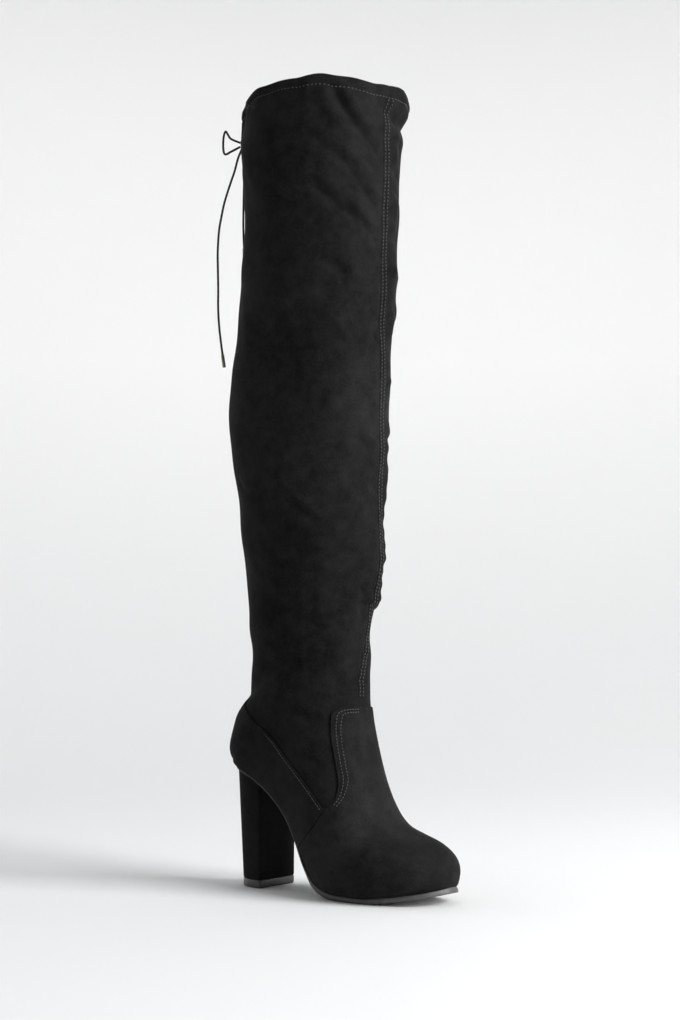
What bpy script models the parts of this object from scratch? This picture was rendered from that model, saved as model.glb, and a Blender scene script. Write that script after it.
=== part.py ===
"""A right thigh high boot with a block heel, made from the pieces of its pattern.

Frame: +X is towards the toe, +Z up, -Y the outer side of the foot and +Y the inner
side with the zip. The origin is the middle of the heel tip's underside, on the floor.
"""
import math

import bmesh
import bpy
import numpy as np
from mathutils import Vector
from mathutils.bvhtree import BVHTree

for thing in list(bpy.data.objects):
    bpy.data.objects.remove(thing, do_unlink=True)

# Main sizes, in metres
FOOT_LENGTH = 0.222
BALL_WIDTH = 0.095
HEEL_HEIGHT = 0.105
ANKLE_RISE = 0.095
LEG_HEIGHT = 0.460
LEG_WIDTH = 0.125
RIM_LIFT = 0.011
CUT_CLEARANCE = 0.0003
SEAT_CLEARANCE = 0.0006
CUTTER_REACH = 0.030
SEAM_END_GAP = 0.006

# Upper and the pieces sewn on it
UPPER_WALL = 0.0014
OVERLAY_WALL = 0.0012
HEM_DEPTH = 0.024
HEM_STEP = 0.0012
SEAM_STEP = 0.0008
JOINT_GAP = 0.0005

# Sole and heel
SOLE_THICKNESS = 0.0042
WAIST_THICKNESS = 0.0022
SOLE_LIP = 0.0003
INSOLE_THICKNESS = 0.0018
INSOLE_MARGIN = 0.0006
HEEL_TOP_LENGTH = 0.0372
HEEL_TIP_LENGTH = 0.0312
HEEL_WIDTH = 0.0480
HEEL_TIP_WIDTH = 0.0465
HEEL_TIP_THICKNESS = 0.0066
HEEL_CORNER = 0.0022

# Zip
ZIP_SLOT = 0.0080
ZIP_TAPE_THICKNESS = 0.0009
TAPE_OUT = -0.0002
ZIP_TEETH_WIDTH = 0.0034
ZIP_TEETH_THICKNESS = 0.0010
SLIDER_LENGTH = 0.0095
SLIDER_WIDTH = 0.0066
SLIDER_THICKNESS = 0.0022
EAR_LENGTH = 0.0032
EAR_THICKNESS = 0.0009
PIN_DIAMETER = 0.0012
PULL_EYE_WALL = 0.0006
PULL_LENGTH = 0.0205
PULL_WIDTH = 0.0046
PULL_THICKNESS = 0.0011

# Drawstring
CORD_DIAMETER = 0.0020
KNOT_LENGTH = 0.0095
KNOT_WIDTH = 0.0072
KNOT_HEIGHT = 0.0078
KNOT_LEVEL = 2.958
KNOT_OFF_CENTRE = 0.0250
AGLET_DIAMETER = 0.0029
AGLET_LENGTH = 0.0110

# The heel stands behind the arch, so the frame starts in the middle of its tip
HEEL_BREAST = 0.0419
ORIGIN_ALONG = HEEL_BREAST - HEEL_TIP_LENGTH / 2

# Sections of the upper from the toe round to the rim. Each is a band in a plane that
# stands across the boot and leans like a fan between a top point and a low point.
# along: from the back of the boot, as shares of FOOT_LENGTH. level: 0 is the top of
# the sole at the ball, 1 the heel seat, 2 the ankle and 3 the rim. outer, inner: half
# widths as shares of BALL_WIDTH. widest: how far up the section it is widest.
# closing: how many degrees of the lower curve are there before the sole cuts it off.
# top along, top level, low along, low level, outer, inner, widest, closing
FOOT_SECTIONS = [
    (0.993, 0.184, 0.989, 0.090, 0.000, 0.000, 0.50, 38),
    (0.987, 0.239, 0.983, 0.085, 0.111, 0.105, 0.48, 38),
    (0.972, 0.299, 0.966, 0.075, 0.205, 0.195, 0.46, 38),
    (0.944, 0.353, 0.939, 0.061, 0.300, 0.279, 0.43, 38),
    (0.896, 0.403, 0.896, 0.045, 0.389, 0.358, 0.40, 38),
    (0.829, 0.448, 0.820, 0.021, 0.468, 0.416, 0.37, 38),
    (0.759, 0.507, 0.734, 0.000, 0.511, 0.442, 0.33, 38),
    (0.709, 0.602, 0.649, 0.000, 0.516, 0.447, 0.30, 38),
    (0.671, 0.746, 0.563, 0.008, 0.495, 0.432, 0.29, 40),
    (0.644, 0.915, 0.486, 0.067, 0.447, 0.400, 0.32, 43),
    (0.623, 1.111, 0.426, 0.194, 0.411, 0.374, 0.38, 47),
    (0.606, 1.311, 0.372, 0.383, 0.395, 0.368, 0.44, 51),
    (0.592, 1.479, 0.313, 0.582, 0.400, 0.389, 0.50, 53),
    (0.586, 1.621, 0.243, 0.746, 0.416, 0.405, 0.55, 53),
    (0.586, 1.737, 0.162, 0.864, 0.421, 0.416, 0.60, 54),
    (0.589, 1.826, 0.081, 0.948, 0.432, 0.421, 0.62, 57),
    (0.592, 1.884, 0.038, 0.988, 0.437, 0.426, 0.62, 70),
    (0.594, 1.921, 0.022, 1.005, 0.442, 0.432, 0.61, 90),
    (0.596, 1.979, 0.009, 1.084, 0.442, 0.437, 0.60, 90),
    (0.598, 2.009, 0.008, 1.211, 0.442, 0.437, 0.59, 90),
    (0.600, 2.022, 0.023, 1.368, 0.435, 0.430, 0.58, 90),
    (0.604, 2.037, 0.056, 1.537, 0.435, 0.430, 0.55, 90),
    (0.608, 2.059, 0.097, 1.737, 0.453, 0.448, 0.53, 90),
    (0.614, 2.087, 0.113, 2.000, 0.486, 0.483, 0.52, 90),
]
# The hem's lower edge is a level too
HEM_LEVEL = 3 - HEM_DEPTH / LEG_HEIGHT

# The leg's sections. front, back: from the back of the boot, as shares of LEG_WIDTH.
# width: the half width as a share of LEG_WIDTH. lean: how far the middle of the
# section lies towards the outer side, as a share of LEG_WIDTH.
# front, front level, back, back level, width, lean
LEG_SECTIONS = [
    (1.109, 2.135, 0.176, 2.098, 0.398, 0.000),
    (1.136, 2.207, 0.136, 2.196, 0.430, 0.000),
    (1.164, 2.326, 0.086, 2.326, 0.476, 0.015),
    (1.195, 2.439, 0.050, 2.439, 0.496, 0.030),
    (1.230, 2.554, 0.116, 2.554, 0.492, 0.045),
    (1.256, 2.670, 0.200, 2.670, 0.500, 0.065),
    (1.288, 2.776, 0.276, 2.776, 0.508, 0.085),
    (1.324, 2.883, 0.248, 2.883, 0.520, 0.095),
    (1.344, HEM_LEVEL, 0.212, HEM_LEVEL, 0.528, 0.096),
    (1.340, 3.000, 0.216, 3.000, 0.528, 0.096),
]
SQUARENESS = 2.1
CLOSED_FROM = 17
HEM_SECTION = len(FOOT_SECTIONS) + 8
OVERLAY_LAST_SECTION = len(FOOT_SECTIONS) + 1
TREAD_FROM = 5.6
TREAD_TO = 7.6

# Seams seen from the side: along as shares of FOOT_LENGTH, levels as above
COUNTER_TOP = [
    (-0.100, 1.632), (0.063, 1.628), (0.086, 1.600), (0.275, 1.295),
    (0.369, 1.084), (0.548, 0.672),
]
FRONT_JOINT = [
    (0.560, 0.665), (0.531, 0.575), (0.503, 0.499), (0.432, 0.368),
    (0.386, 0.330), (0.340, 0.250),
]
VAMP_EDGE = [
    (0.583, 0.703), (0.596, 0.771), (0.596, 0.880), (0.582, 1.000), (0.565, 1.168),
    (0.555, 1.316), (0.554, 1.432), (0.560, 1.474), (0.574, 1.498),
]
VAMP_TOP_LEVEL = 1.505
ZIP_TOP = (0.383, 2.168)
ZIP_FOOT = (0.327, 0.705)

# How finely the forms are cut into faces
STEPS_PER_FOOT_SECTION = 2
STEPS_PER_LEG_SECTION = 1
RIDGE_COLUMNS = [0.000, 0.022, 0.030]
SIDE_COLUMNS = 9


def level_height(level):
    """The height above the floor of a level of the section tables."""
    base = SOLE_THICKNESS + CUT_CLEARANCE
    ankle = HEEL_HEIGHT + ANKLE_RISE
    return float(np.interp(level, [0, 1, 2, 3], [base, HEEL_HEIGHT, ankle, ankle + LEG_HEIGHT]))


def section_table():
    """Both tables as rows in metres: top x, top z, low x, low z, outer, inner, lean, widest, closing."""
    rows = []
    for top, top_level, low, low_level, outer, inner, widest, closing in FOOT_SECTIONS:
        rows.append((
            top * FOOT_LENGTH - ORIGIN_ALONG, level_height(top_level),
            low * FOOT_LENGTH - ORIGIN_ALONG, level_height(low_level),
            outer * BALL_WIDTH, inner * BALL_WIDTH, 0.0, widest, closing,
        ))
    for front, front_level, back, back_level, width, lean in LEG_SECTIONS:
        rows.append((
            front * LEG_WIDTH - ORIGIN_ALONG, level_height(front_level),
            back * LEG_WIDTH - ORIGIN_ALONG, level_height(back_level),
            width * LEG_WIDTH, width * LEG_WIDTH, -lean * LEG_WIDTH, 0.5, 90.0,
        ))
    return np.array(rows)


def read_table(table, places):
    """Catmull-Rom values of a table at fractional row numbers."""
    padded = np.vstack([2 * table[0] - table[1], table, 2 * table[-1] - table[-2]])
    found = []
    for place in places:
        start = min(int(place), len(table) - 2)
        t = place - start
        a, b, c, d = padded[start:start + 4]
        curve = 2 * b + (c - a) * t + (2 * a - 5 * b + 4 * c - d) * t**2 + (3 * b - a - 3 * c + d) * t**3
        found.append(curve / 2)
    return np.array(found)


def section_places(last):
    """The fractional row numbers of the upper's rings, up to one of the sections."""
    foot = len(FOOT_SECTIONS)
    count = min(last, foot) * STEPS_PER_FOOT_SECTION
    places = [step / STEPS_PER_FOOT_SECTION for step in range(count)]
    if last > foot:
        count = (last - foot) * STEPS_PER_LEG_SECTION
        places += [foot + step / STEPS_PER_LEG_SECTION for step in range(count)]
    if last > HEM_SECTION:
        places.append(HEM_SECTION + 0.05)
    places.append(float(last))
    return sorted(places)


def columns():
    """Places round a section: -1 and 1 are its low ends on the outer and inner side, 0 the ridge."""
    spread = [0.03 + 0.97 * (step + 1) / SIDE_COLUMNS for step in range(SIDE_COLUMNS)]
    half = RIDGE_COLUMNS + spread
    return np.array([-value for value in reversed(half[1:])] + half)


def form_points(places, around):
    """The plain outside of the boot, as a grid of points."""
    rows = read_table(section_table(), places)
    top_x, top_z, low_x, low_z, outer, inner, lean, widest, closing = [rows[:, [i]] for i in range(9)]
    closing = np.minimum(closing, 90.0)
    outer = np.maximum(outer, 0.0)
    inner = np.maximum(inner, 0.0)
    closed = np.array(places)[:, None] >= CLOSED_FROM
    closing = np.where(closed, 90.0, closing)
    depth = np.hypot(top_x - low_x, top_z - low_z)
    angle = np.radians(90 - np.abs(around)[None, :] * (90 + closing))
    upper_half = angle >= 0
    side = np.where(upper_half, np.abs(np.cos(angle)) ** (2 / SQUARENESS), np.cos(angle))
    rise = np.where(upper_half, np.abs(np.sin(angle)) ** (2 / SQUARENESS), 0)
    high = widest * depth + (1 - widest) * depth * rise
    low = widest * depth * (1 + np.sin(angle) / np.sin(np.radians(closing)))
    along = np.where(upper_half, high, low)
    width = np.where(around[None, :] < 0, outer, inner)
    y = np.sign(around)[None, :] * width * side + lean
    x = low_x + (top_x - low_x) / depth * along
    z = low_z + (top_z - low_z) / depth * along
    lift_from = level_height(2.80)
    lift_to = level_height(3.0)
    share = np.clip((z - lift_from) / (lift_to - lift_from), 0, 1)
    outer_side = np.where(around < 0, np.sin(np.pi * np.abs(around)), 0)
    z = z + RIM_LIFT * share**2 * (3 - 2 * share) * outer_side[None, :]
    return np.stack([x, y, z], axis=-1)


def form_normals(grid, places, around):
    """Outward unit normals of the form's grid."""
    down_rows = np.gradient(grid, axis=0)
    across = np.gradient(grid, around, axis=1)
    closed = np.array(places) >= CLOSED_FROM
    wrap = (grid[:, 1] - grid[:, -2]) / (around[1] - around[0]) / 2
    across[closed, 0] = wrap[closed]
    across[closed, -1] = wrap[closed]
    normals = np.cross(across, down_rows)
    lengths = np.linalg.norm(normals, axis=2, keepdims=True)
    normals = normals / np.maximum(lengths, 1e-12)
    ridge = len(around) // 2
    normals[0, ridge] = normals[0, ridge - 1] + normals[0, ridge + 1]
    normals[0] = normals[0] + normals[0][::-1]
    normals[0] = normals[0] / np.linalg.norm(normals[0], axis=1, keepdims=True)
    return normals


def sole_directions(grid):
    """Unit steps along the sole's top from heel to toe, and up from it, for each ring."""
    low = grid[:, 0] / 2 + grid[:, -1] / 2
    run = -np.gradient(low, axis=0)
    run[:, 1] = 0
    run = run / np.linalg.norm(run, axis=1, keepdims=True)
    held = STEPS_PER_FOOT_SECTION + 1
    run[-held:] = run[-held - 1]
    up = np.stack([-run[:, 2], np.zeros(len(run)), run[:, 0]], axis=1)
    return run, up


def feather_steps(grid, normals):
    """Unit steps outwards from both low edges along the sole's top, and how far a wall reaches on each."""
    run, up = sole_directions(grid)
    found = []
    for end, turn in ((0, 1), (-1, -1)):
        step = turn * np.cross(up, np.gradient(grid[:, end], axis=0))
        found.append(step / np.linalg.norm(step, axis=1, keepdims=True))
    for tip in (0, -1):
        middle = found[0][tip] + found[1][tip]
        middle = middle / np.linalg.norm(middle)
        found[0][tip] = middle
        found[1][tip] = middle
    reaches = []
    for end, step in zip((0, -1), found):
        facing = np.abs((normals[:, end] * step).sum(axis=1, keepdims=True))
        reaches.append(1 / np.maximum(facing, 0.6))
    return found, reaches


def offset_form(places, around, offset):
    """The form moved outwards by an offset for each ring and column, kept flat along the sole."""
    grid = form_points(places, around)
    normals = form_normals(grid, places, around)
    offset = np.broadcast_to(offset, grid.shape[:2])[:, :, None]
    on_sole = np.array(places) <= CLOSED_FROM
    at_seat = np.abs(np.array(places) - CLOSED_FROM) <= 1
    up = sole_directions(grid[on_sole])[1][-1]
    dip = np.minimum((normals[at_seat] * up).sum(axis=2, keepdims=True), 0)
    level = normals[at_seat] - dip * up
    paths = normals.copy()
    paths[at_seat] = level / np.maximum((level**2).sum(axis=2, keepdims=True), 0.2)
    moved = grid + paths * offset
    steps, reaches = feather_steps(grid[on_sole], normals[on_sole])
    for end, step, reach in zip((0, -1), steps, reaches):
        moved[on_sole, end] = grid[on_sole, end] + step * reach * offset[on_sole, end]
    return moved


def solid_between(name, front, back, open_sides, open_start=True, open_end=True):
    """A closed solid between two matching grids: front faces out, and open edges are bridged."""
    rows, cols = front.shape[:2]
    mesh = bmesh.new()
    outside = [[mesh.verts.new(front[i, j]) for j in range(cols)] for i in range(rows)]
    inside = [[mesh.verts.new(back[i, j]) for j in range(cols)] for i in range(rows)]
    for i in range(rows - 1):
        for j in range(cols - 1):
            for grid, turn in ((outside, 1), (inside, -1)):
                corners = [grid[i][j], grid[i][j + 1], grid[i + 1][j + 1], grid[i + 1][j]]
                if (j >= cols // 2) != (i == 0):
                    corners = corners[1:] + corners[:1]
                mesh.faces.new((corners[0], corners[1], corners[2])[::turn])
                mesh.faces.new((corners[0], corners[2], corners[3])[::turn])
    for i in range(rows - 1):
        if open_sides[i]:
            mesh.faces.new((outside[i][0], outside[i + 1][0], inside[i + 1][0], inside[i][0]))
            mesh.faces.new((outside[i][-1], inside[i][-1], inside[i + 1][-1], outside[i + 1][-1]))
    for j in range(cols - 1):
        if open_start:
            mesh.faces.new((outside[0][j], inside[0][j], inside[0][j + 1], outside[0][j + 1]))
        if open_end:
            mesh.faces.new((outside[-1][j], outside[-1][j + 1], inside[-1][j + 1], inside[-1][j]))
    bmesh.ops.remove_doubles(mesh, verts=mesh.verts, dist=1e-5)
    bmesh.ops.dissolve_degenerate(mesh, edges=mesh.edges, dist=1e-6)
    bmesh.ops.recalc_face_normals(mesh, faces=mesh.faces)
    return object_from(name, mesh)


def object_from(name, mesh):
    """Put a bmesh into an object of its own."""
    data = bpy.data.meshes.new(name)
    mesh.to_mesh(data)
    mesh.free()
    thing = bpy.data.objects.new(name, data)
    bpy.context.collection.objects.link(thing)
    data.shade_smooth()
    data.set_sharp_from_angle(angle=math.radians(40))
    return thing


def finish(thing, colour, roughness, metallic=0.0):
    """Give a piece its own material."""
    material = bpy.data.materials.new(thing.name)
    material.use_nodes = True
    shader = material.node_tree.nodes["Principled BSDF"]
    shader.inputs["Base Color"].default_value = (*colour, 1)
    shader.inputs["Roughness"].default_value = roughness
    shader.inputs["Metallic"].default_value = metallic
    thing.data.materials.clear()
    thing.data.materials.append(material)
    return thing


def side_prism(name, outline, near, far):
    """A cutter with a side-view outline of points (x, z), running from one y to another."""
    mesh = bmesh.new()
    first = [mesh.verts.new((x, near, z)) for x, z in outline]
    second = [mesh.verts.new((x, far, z)) for x, z in outline]
    mesh.faces.new(first)
    mesh.faces.new(list(reversed(second)))
    for i in range(len(outline)):
        k = (i + 1) % len(outline)
        mesh.faces.new((first[i], second[i], second[k], first[k]))
    bmesh.ops.recalc_face_normals(mesh, faces=mesh.faces)
    cutter = object_from(name, mesh)
    cutter.hide_render = True
    cutter.display_type = "WIRE"
    return cutter


def cut(thing, cutter, operation):
    """A Boolean that stays on its object."""
    change = thing.modifiers.new(operation.title(), "BOOLEAN")
    change.operation = operation
    change.solver = "EXACT"
    change.object = cutter


def side_points(outline):
    """Side-view points in metres from shares along and levels."""
    return [(along * FOOT_LENGTH - ORIGIN_ALONG, level_height(level)) for along, level in outline]


def zip_outline(width, past_top, past_foot):
    """The four side-view corners of a strip along the zip."""
    (top_x, top_z), (foot_x, foot_z) = side_points([ZIP_TOP, ZIP_FOOT])
    run = Vector((top_x - foot_x, top_z - foot_z)).normalized()
    across = Vector((run.y, -run.x)) * width / 2
    top = Vector((top_x, top_z)) + run * past_top
    foot = Vector((foot_x, foot_z)) - run * past_foot
    return [tuple(point) for point in (top + across, top - across, foot - across, foot + across)]


def side_is_open(places):
    """Which stretches between rings have low ends that lie on the sole."""
    return [places[i + 1] <= CLOSED_FROM for i in range(len(places) - 1)]


def make_upper(zip_cutter):
    """The whole inner boot, foot and leg, as one wall with a hem, a front seam and the zip's slot."""
    places = section_places(len(FOOT_SECTIONS) + len(LEG_SECTIONS) - 1)
    around = columns()
    where = np.array(places)[:, None]
    on_hem = where > HEM_SECTION + 0.01
    ridge = np.abs(around)[None, :] < 0.025
    ridge_heights = form_points(places, np.array([0.0, 0.1]))[:, [0], 2]
    above_tab = ridge_heights > level_height(VAMP_TOP_LEVEL) + SEAM_END_GAP
    raised = np.where(on_hem, HEM_STEP, np.where(ridge & above_tab, SEAM_STEP, 0.0))
    outside = offset_form(places, around, raised)
    inside = offset_form(places, around, np.full(raised.shape, -UPPER_WALL))
    upper = solid_between("upper", outside, inside, side_is_open(places), open_start=False)
    cut(upper, zip_cutter, "DIFFERENCE")
    return finish(upper, (0.012, 0.012, 0.013), 0.85)


def overlay_shell(name):
    """A shell just outside the upper's foot, from which vamp and counter are cut."""
    places = section_places(OVERLAY_LAST_SECTION)
    around = columns()
    at_seat = np.abs(np.array(places) - CLOSED_FROM)[:, None] <= 1
    outside = offset_form(places, around, np.array(CUT_CLEARANCE + OVERLAY_WALL))
    inside = offset_form(places, around, np.where(at_seat, SEAT_CLEARANCE, CUT_CLEARANCE))
    return solid_between(name, outside, inside, side_is_open(places), open_start=False)


def make_counter(zip_cutter):
    """The piece round the back of the heel, up to its slanting top seam."""
    reach = BALL_WIDTH
    joint = [(x - JOINT_GAP, z + JOINT_GAP) for x, z in side_points(FRONT_JOINT)]
    lower_left = [(joint[-1][0], -CUTTER_REACH), (-ORIGIN_ALONG - CUTTER_REACH, -CUTTER_REACH)]
    outline = side_points(COUNTER_TOP) + joint[1:] + lower_left
    counter = overlay_shell("counter")
    cut(counter, side_prism("counter_outline", outline, -reach, reach), "INTERSECT")
    cut(counter, zip_cutter, "DIFFERENCE")
    return finish(counter, (0.012, 0.012, 0.013), 0.85)


def make_vamp():
    """The piece over the toes, with a tab that runs up the front of the ankle."""
    reach = BALL_WIDTH
    edge = side_points(VAMP_EDGE)
    joint = side_points(FRONT_JOINT)
    top = level_height(VAMP_TOP_LEVEL)
    toe = FOOT_LENGTH - ORIGIN_ALONG + CUTTER_REACH
    outline = edge + [(toe, top), (toe, -CUTTER_REACH), (joint[-1][0], -CUTTER_REACH)] + joint[::-1]
    vamp = overlay_shell("vamp")
    cut(vamp, side_prism("vamp_outline", outline, -reach, reach), "INTERSECT")
    return finish(vamp, (0.012, 0.012, 0.013), 0.85)


def sole_band(walls, margin):
    """The sole's places with its outer and inner edge, moved outwards by some walls and a margin."""
    count = CLOSED_FROM * STEPS_PER_FOOT_SECTION
    places = [step / STEPS_PER_FOOT_SECTION for step in range(count + 1)]
    around = columns()
    grid = form_points(places, around)
    steps, reaches = feather_steps(grid, form_normals(grid, places, around))
    edges = []
    for end, step, reach in zip((0, -1), steps, reaches):
        edges.append(grid[:, end] + step * (reach * walls + margin))
    return np.array(places), edges[0], edges[1]


def band_grid(outer, inner, across=6):
    """A grid of points between two edges."""
    shares = np.linspace(0, 1, across + 1)[None, :, None]
    return outer[:, None, :] * (1 - shares) + inner[:, None, :] * shares


def down_steps(grid):
    """Unit steps down from the sole's top for a band's grid."""
    run, up = sole_directions(grid)
    return -up[:, None, :]


def make_outsole():
    """The thin sole from the toe to the back of the heel seat."""
    places, outer, inner = sole_band(CUT_CLEARANCE + OVERLAY_WALL, SOLE_LIP)
    top = band_grid(outer, inner)
    down = down_steps(top)
    thin = level_height(0.10)
    thick = level_height(0.02)
    share = np.clip((top[:, :, 2] - thick) / (thin - thick), 0, 1)
    forefoot = top[:, :, 0] > 0.6 * FOOT_LENGTH - ORIGIN_ALONG
    thickness = SOLE_THICKNESS + (WAIST_THICKNESS - SOLE_THICKNESS) * np.where(forefoot, 0, share)
    upper_face = top + down * CUT_CLEARANCE
    lower_face = top + down * (CUT_CLEARANCE + thickness[:, :, None])
    tread = ((places >= TREAD_FROM) & (places <= TREAD_TO))[:, None]
    lower_face[:, :, 2] = np.where(tread, 0.0, np.maximum(lower_face[:, :, 2], 0.0))
    sole = solid_between("outsole", upper_face, lower_face, [True] * (len(places) - 1))
    return finish(sole, (0.02, 0.02, 0.021), 0.45)


def make_insole():
    """The lining board on top of the sole, inside the upper."""
    places, outer, inner = sole_band(-UPPER_WALL, -INSOLE_MARGIN)
    keep = (places >= 2.0) & (places <= CLOSED_FROM - 1.5)
    grid = band_grid(outer[keep], inner[keep])
    down = down_steps(grid)
    top = grid - down * (CUT_CLEARANCE + INSOLE_THICKNESS)
    bottom = grid - down * CUT_CLEARANCE
    insole = solid_between("insole", top, bottom, [True] * (len(grid) - 1))
    return finish(insole, (0.03, 0.03, 0.03), 0.8)


def seat_height(x):
    """The height of the outsole's underside over the heel, at an x."""
    places, outer, inner = sole_band(0.0, 0.0)
    grid = band_grid(outer, inner, 2)
    under = (grid + down_steps(grid) * (CUT_CLEARANCE + WAIST_THICKNESS))[:, 1]
    order = np.argsort(under[:, 0])
    return float(np.interp(x, under[order, 0], under[order, 2]))


def heel_outline(length, width, count=16):
    """Half of the heel's outline from its round back to its flat breast, as pairs (x, half width)."""
    breast = HEEL_BREAST - ORIGIN_ALONG
    round_length = min(length, width * 0.62)
    pairs = []
    for step in range(count + 1):
        turn = math.pi / 2 * step / count
        along = breast - length + round_length * (1 - math.cos(turn))
        pairs.append((along, width / 2 * math.sin(turn) ** 0.9))
    pairs.append((breast - HEEL_CORNER, width / 2))
    pairs.append((breast - HEEL_CORNER * 0.3, width / 2 - HEEL_CORNER * 0.3))
    pairs.append((breast, width / 2 - HEEL_CORNER))
    return pairs


def ring_grid(pairs, heights):
    """Points across each station of an outline, from the outer side to the inner side."""
    rows = []
    for (x, half), z in zip(pairs, heights):
        rows.append([(x, half * share, z) for share in (-1, -0.5, 0, 0.5, 1)])
    return np.array(rows)


def make_heel():
    """The covered block, whose top follows the seat."""
    top_pairs = heel_outline(HEEL_TOP_LENGTH, HEEL_WIDTH)
    tip_pairs = heel_outline(HEEL_TIP_LENGTH, HEEL_TIP_WIDTH)
    top = ring_grid(top_pairs, [seat_height(x) - CUT_CLEARANCE for x, half in top_pairs])
    bottom = ring_grid(tip_pairs, [HEEL_TIP_THICKNESS + CUT_CLEARANCE] * len(tip_pairs))
    heel = solid_between("heel", top, bottom, [True] * (len(top) - 1))
    return finish(heel, (0.014, 0.014, 0.015), 0.8)


def make_heel_tip():
    """The wearing piece under the heel."""
    pairs = heel_outline(HEEL_TIP_LENGTH, HEEL_TIP_WIDTH)
    top = ring_grid(pairs, [HEEL_TIP_THICKNESS] * len(pairs))
    bottom = ring_grid(pairs, [0.0] * len(pairs))
    tip = solid_between("heel_tip", top, bottom, [True] * (len(top) - 1))
    return finish(tip, (0.02, 0.02, 0.022), 0.35)


def plain_skin():
    """A tree of the plain form's faces, to find the skin under a side-view point."""
    places = section_places(len(FOOT_SECTIONS) + len(LEG_SECTIONS) - 1)
    grid = form_points(places, columns())
    rows, cols = grid.shape[:2]
    points = [Vector(point) for point in grid.reshape(-1, 3)]
    faces = []
    for i in range(rows - 1):
        for j in range(cols - 1):
            corner = i * cols + j
            faces.append((corner, corner + 1, corner + cols + 1, corner + cols))
    return BVHTree.FromPolygons(points, faces)


def skin_y(tree, x, z):
    """The inner side's y at a side-view point."""
    place, normal, index, distance = tree.ray_cast(Vector((x, 0.3, z)), Vector((0, -1, 0)))
    return place.y


def zip_strip(tree, name, width, low, high, count=18):
    """A strip that follows the skin along the zip, between two distances outside the skin."""
    corners = zip_outline(width, -CUT_CLEARANCE, -CUT_CLEARANCE)
    top_a, top_b, foot_b, foot_a = [np.array(corner) for corner in corners]
    front = []
    back = []
    for step in range(count + 1):
        share = step / count
        left = top_a + (foot_a - top_a) * share
        right = top_b + (foot_b - top_b) * share
        outs = []
        ins = []
        for part in (0, 0.5, 1):
            x, z = left + (right - left) * part
            y = skin_y(tree, x, z)
            outs.append((x, y + high, z))
            ins.append((x, y + low, z))
        front.append(outs)
        back.append(ins)
    front = np.array(front)
    return solid_between(name, front, np.array(back), [True] * (len(front) - 1))


def make_zip(tree):
    """The tape in its slot and the row of teeth on it."""
    tape = zip_strip(tree, "zip_tape", ZIP_SLOT - 2 * CUT_CLEARANCE, TAPE_OUT - ZIP_TAPE_THICKNESS, TAPE_OUT)
    finish(tape, (0.016, 0.016, 0.017), 0.8)
    teeth_in = TAPE_OUT + CUT_CLEARANCE
    teeth = zip_strip(tree, "zip_teeth", ZIP_TEETH_WIDTH, teeth_in, teeth_in + ZIP_TEETH_THICKNESS)
    finish(teeth, (0.03, 0.03, 0.032), 0.4)


def slider_frame(tree):
    """The slider's middle on the skin, with its directions along, across and out."""
    (top_x, top_z), (foot_x, foot_z) = side_points([ZIP_TOP, ZIP_FOOT])
    run = Vector((top_x - foot_x, 0, top_z - foot_z)).normalized()
    middle = Vector((top_x, 0, top_z)) - run * (SLIDER_LENGTH / 2 + 2 * CUT_CLEARANCE)
    above = middle + run * SLIDER_LENGTH / 2
    below = middle - run * SLIDER_LENGTH / 2
    above.y = skin_y(tree, above.x, above.z)
    below.y = skin_y(tree, below.x, below.z)
    middle = (above + below) / 2
    along = (above - below).normalized()
    out = Vector((1, 0, 0)).cross(along)
    out = -out if out.y < 0 else out
    out.normalize()
    across = along.cross(out).normalized()
    across = -across if across.x < 0 else across
    return middle, along, across, out


def block(mesh, centre, half_sizes, axes):
    """A box in a bmesh, by its centre, half sizes and axes."""
    corners = []
    for a in (-1, 1):
        for b in (-1, 1):
            for c in (-1, 1):
                offset = axes[0] * (a * half_sizes[0]) + axes[1] * (b * half_sizes[1])
                offset = offset + axes[2] * (c * half_sizes[2])
                corners.append(mesh.verts.new(centre + offset))
    for quad in ((0, 1, 3, 2), (4, 6, 7, 5), (0, 4, 5, 1), (2, 3, 7, 6), (0, 2, 6, 4), (1, 5, 7, 3)):
        mesh.faces.new([corners[i] for i in quad])
    bmesh.ops.recalc_face_normals(mesh, faces=mesh.faces)


def rod(mesh, start, end, radius, sides=12):
    """A round bar in a bmesh between two points."""
    run = (end - start).normalized()
    side = run.orthogonal().normalized()
    other = run.cross(side)
    rings = []
    for point in (start, end):
        ring = []
        for k in range(sides):
            turn = 2 * math.pi * k / sides
            spoke = side * (radius * math.cos(turn)) + other * (radius * math.sin(turn))
            ring.append(mesh.verts.new(point + spoke))
        rings.append(ring)
    mesh.faces.new(rings[0][::-1])
    mesh.faces.new(rings[1])
    for k in range(sides):
        n = (k + 1) % sides
        mesh.faces.new((rings[0][k], rings[0][n], rings[1][n], rings[1][k]))
    bmesh.ops.recalc_face_normals(mesh, faces=mesh.faces)


def block_object(name, centre, half_sizes, axes):
    """A box as an object, used as a tool for joining or cutting."""
    mesh = bmesh.new()
    block(mesh, centre, half_sizes, axes)
    tool = object_from(name, mesh)
    tool.hide_render = True
    tool.display_type = "WIRE"
    return tool


def rod_object(name, start, end, radius):
    """A round bar as an object, used as a tool for joining or cutting."""
    mesh = bmesh.new()
    rod(mesh, start, end, radius)
    tool = object_from(name, mesh)
    tool.hide_render = True
    tool.display_type = "WIRE"
    return tool


def slider_base(tree):
    """How far the slider's underside lies outside the skin: over the tape and the teeth."""
    return TAPE_OUT + CUT_CLEARANCE + ZIP_TEETH_THICKNESS + CUT_CLEARANCE


def pull_pin(tree):
    """The middle of the pin, which leaves the pull's eye room over the slider."""
    middle, along, across, out = slider_frame(tree)
    eye = PIN_DIAMETER / 2 + CUT_CLEARANCE + PULL_EYE_WALL
    return middle + out * (slider_base(tree) + SLIDER_THICKNESS + CUT_CLEARANCE + eye)


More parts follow.
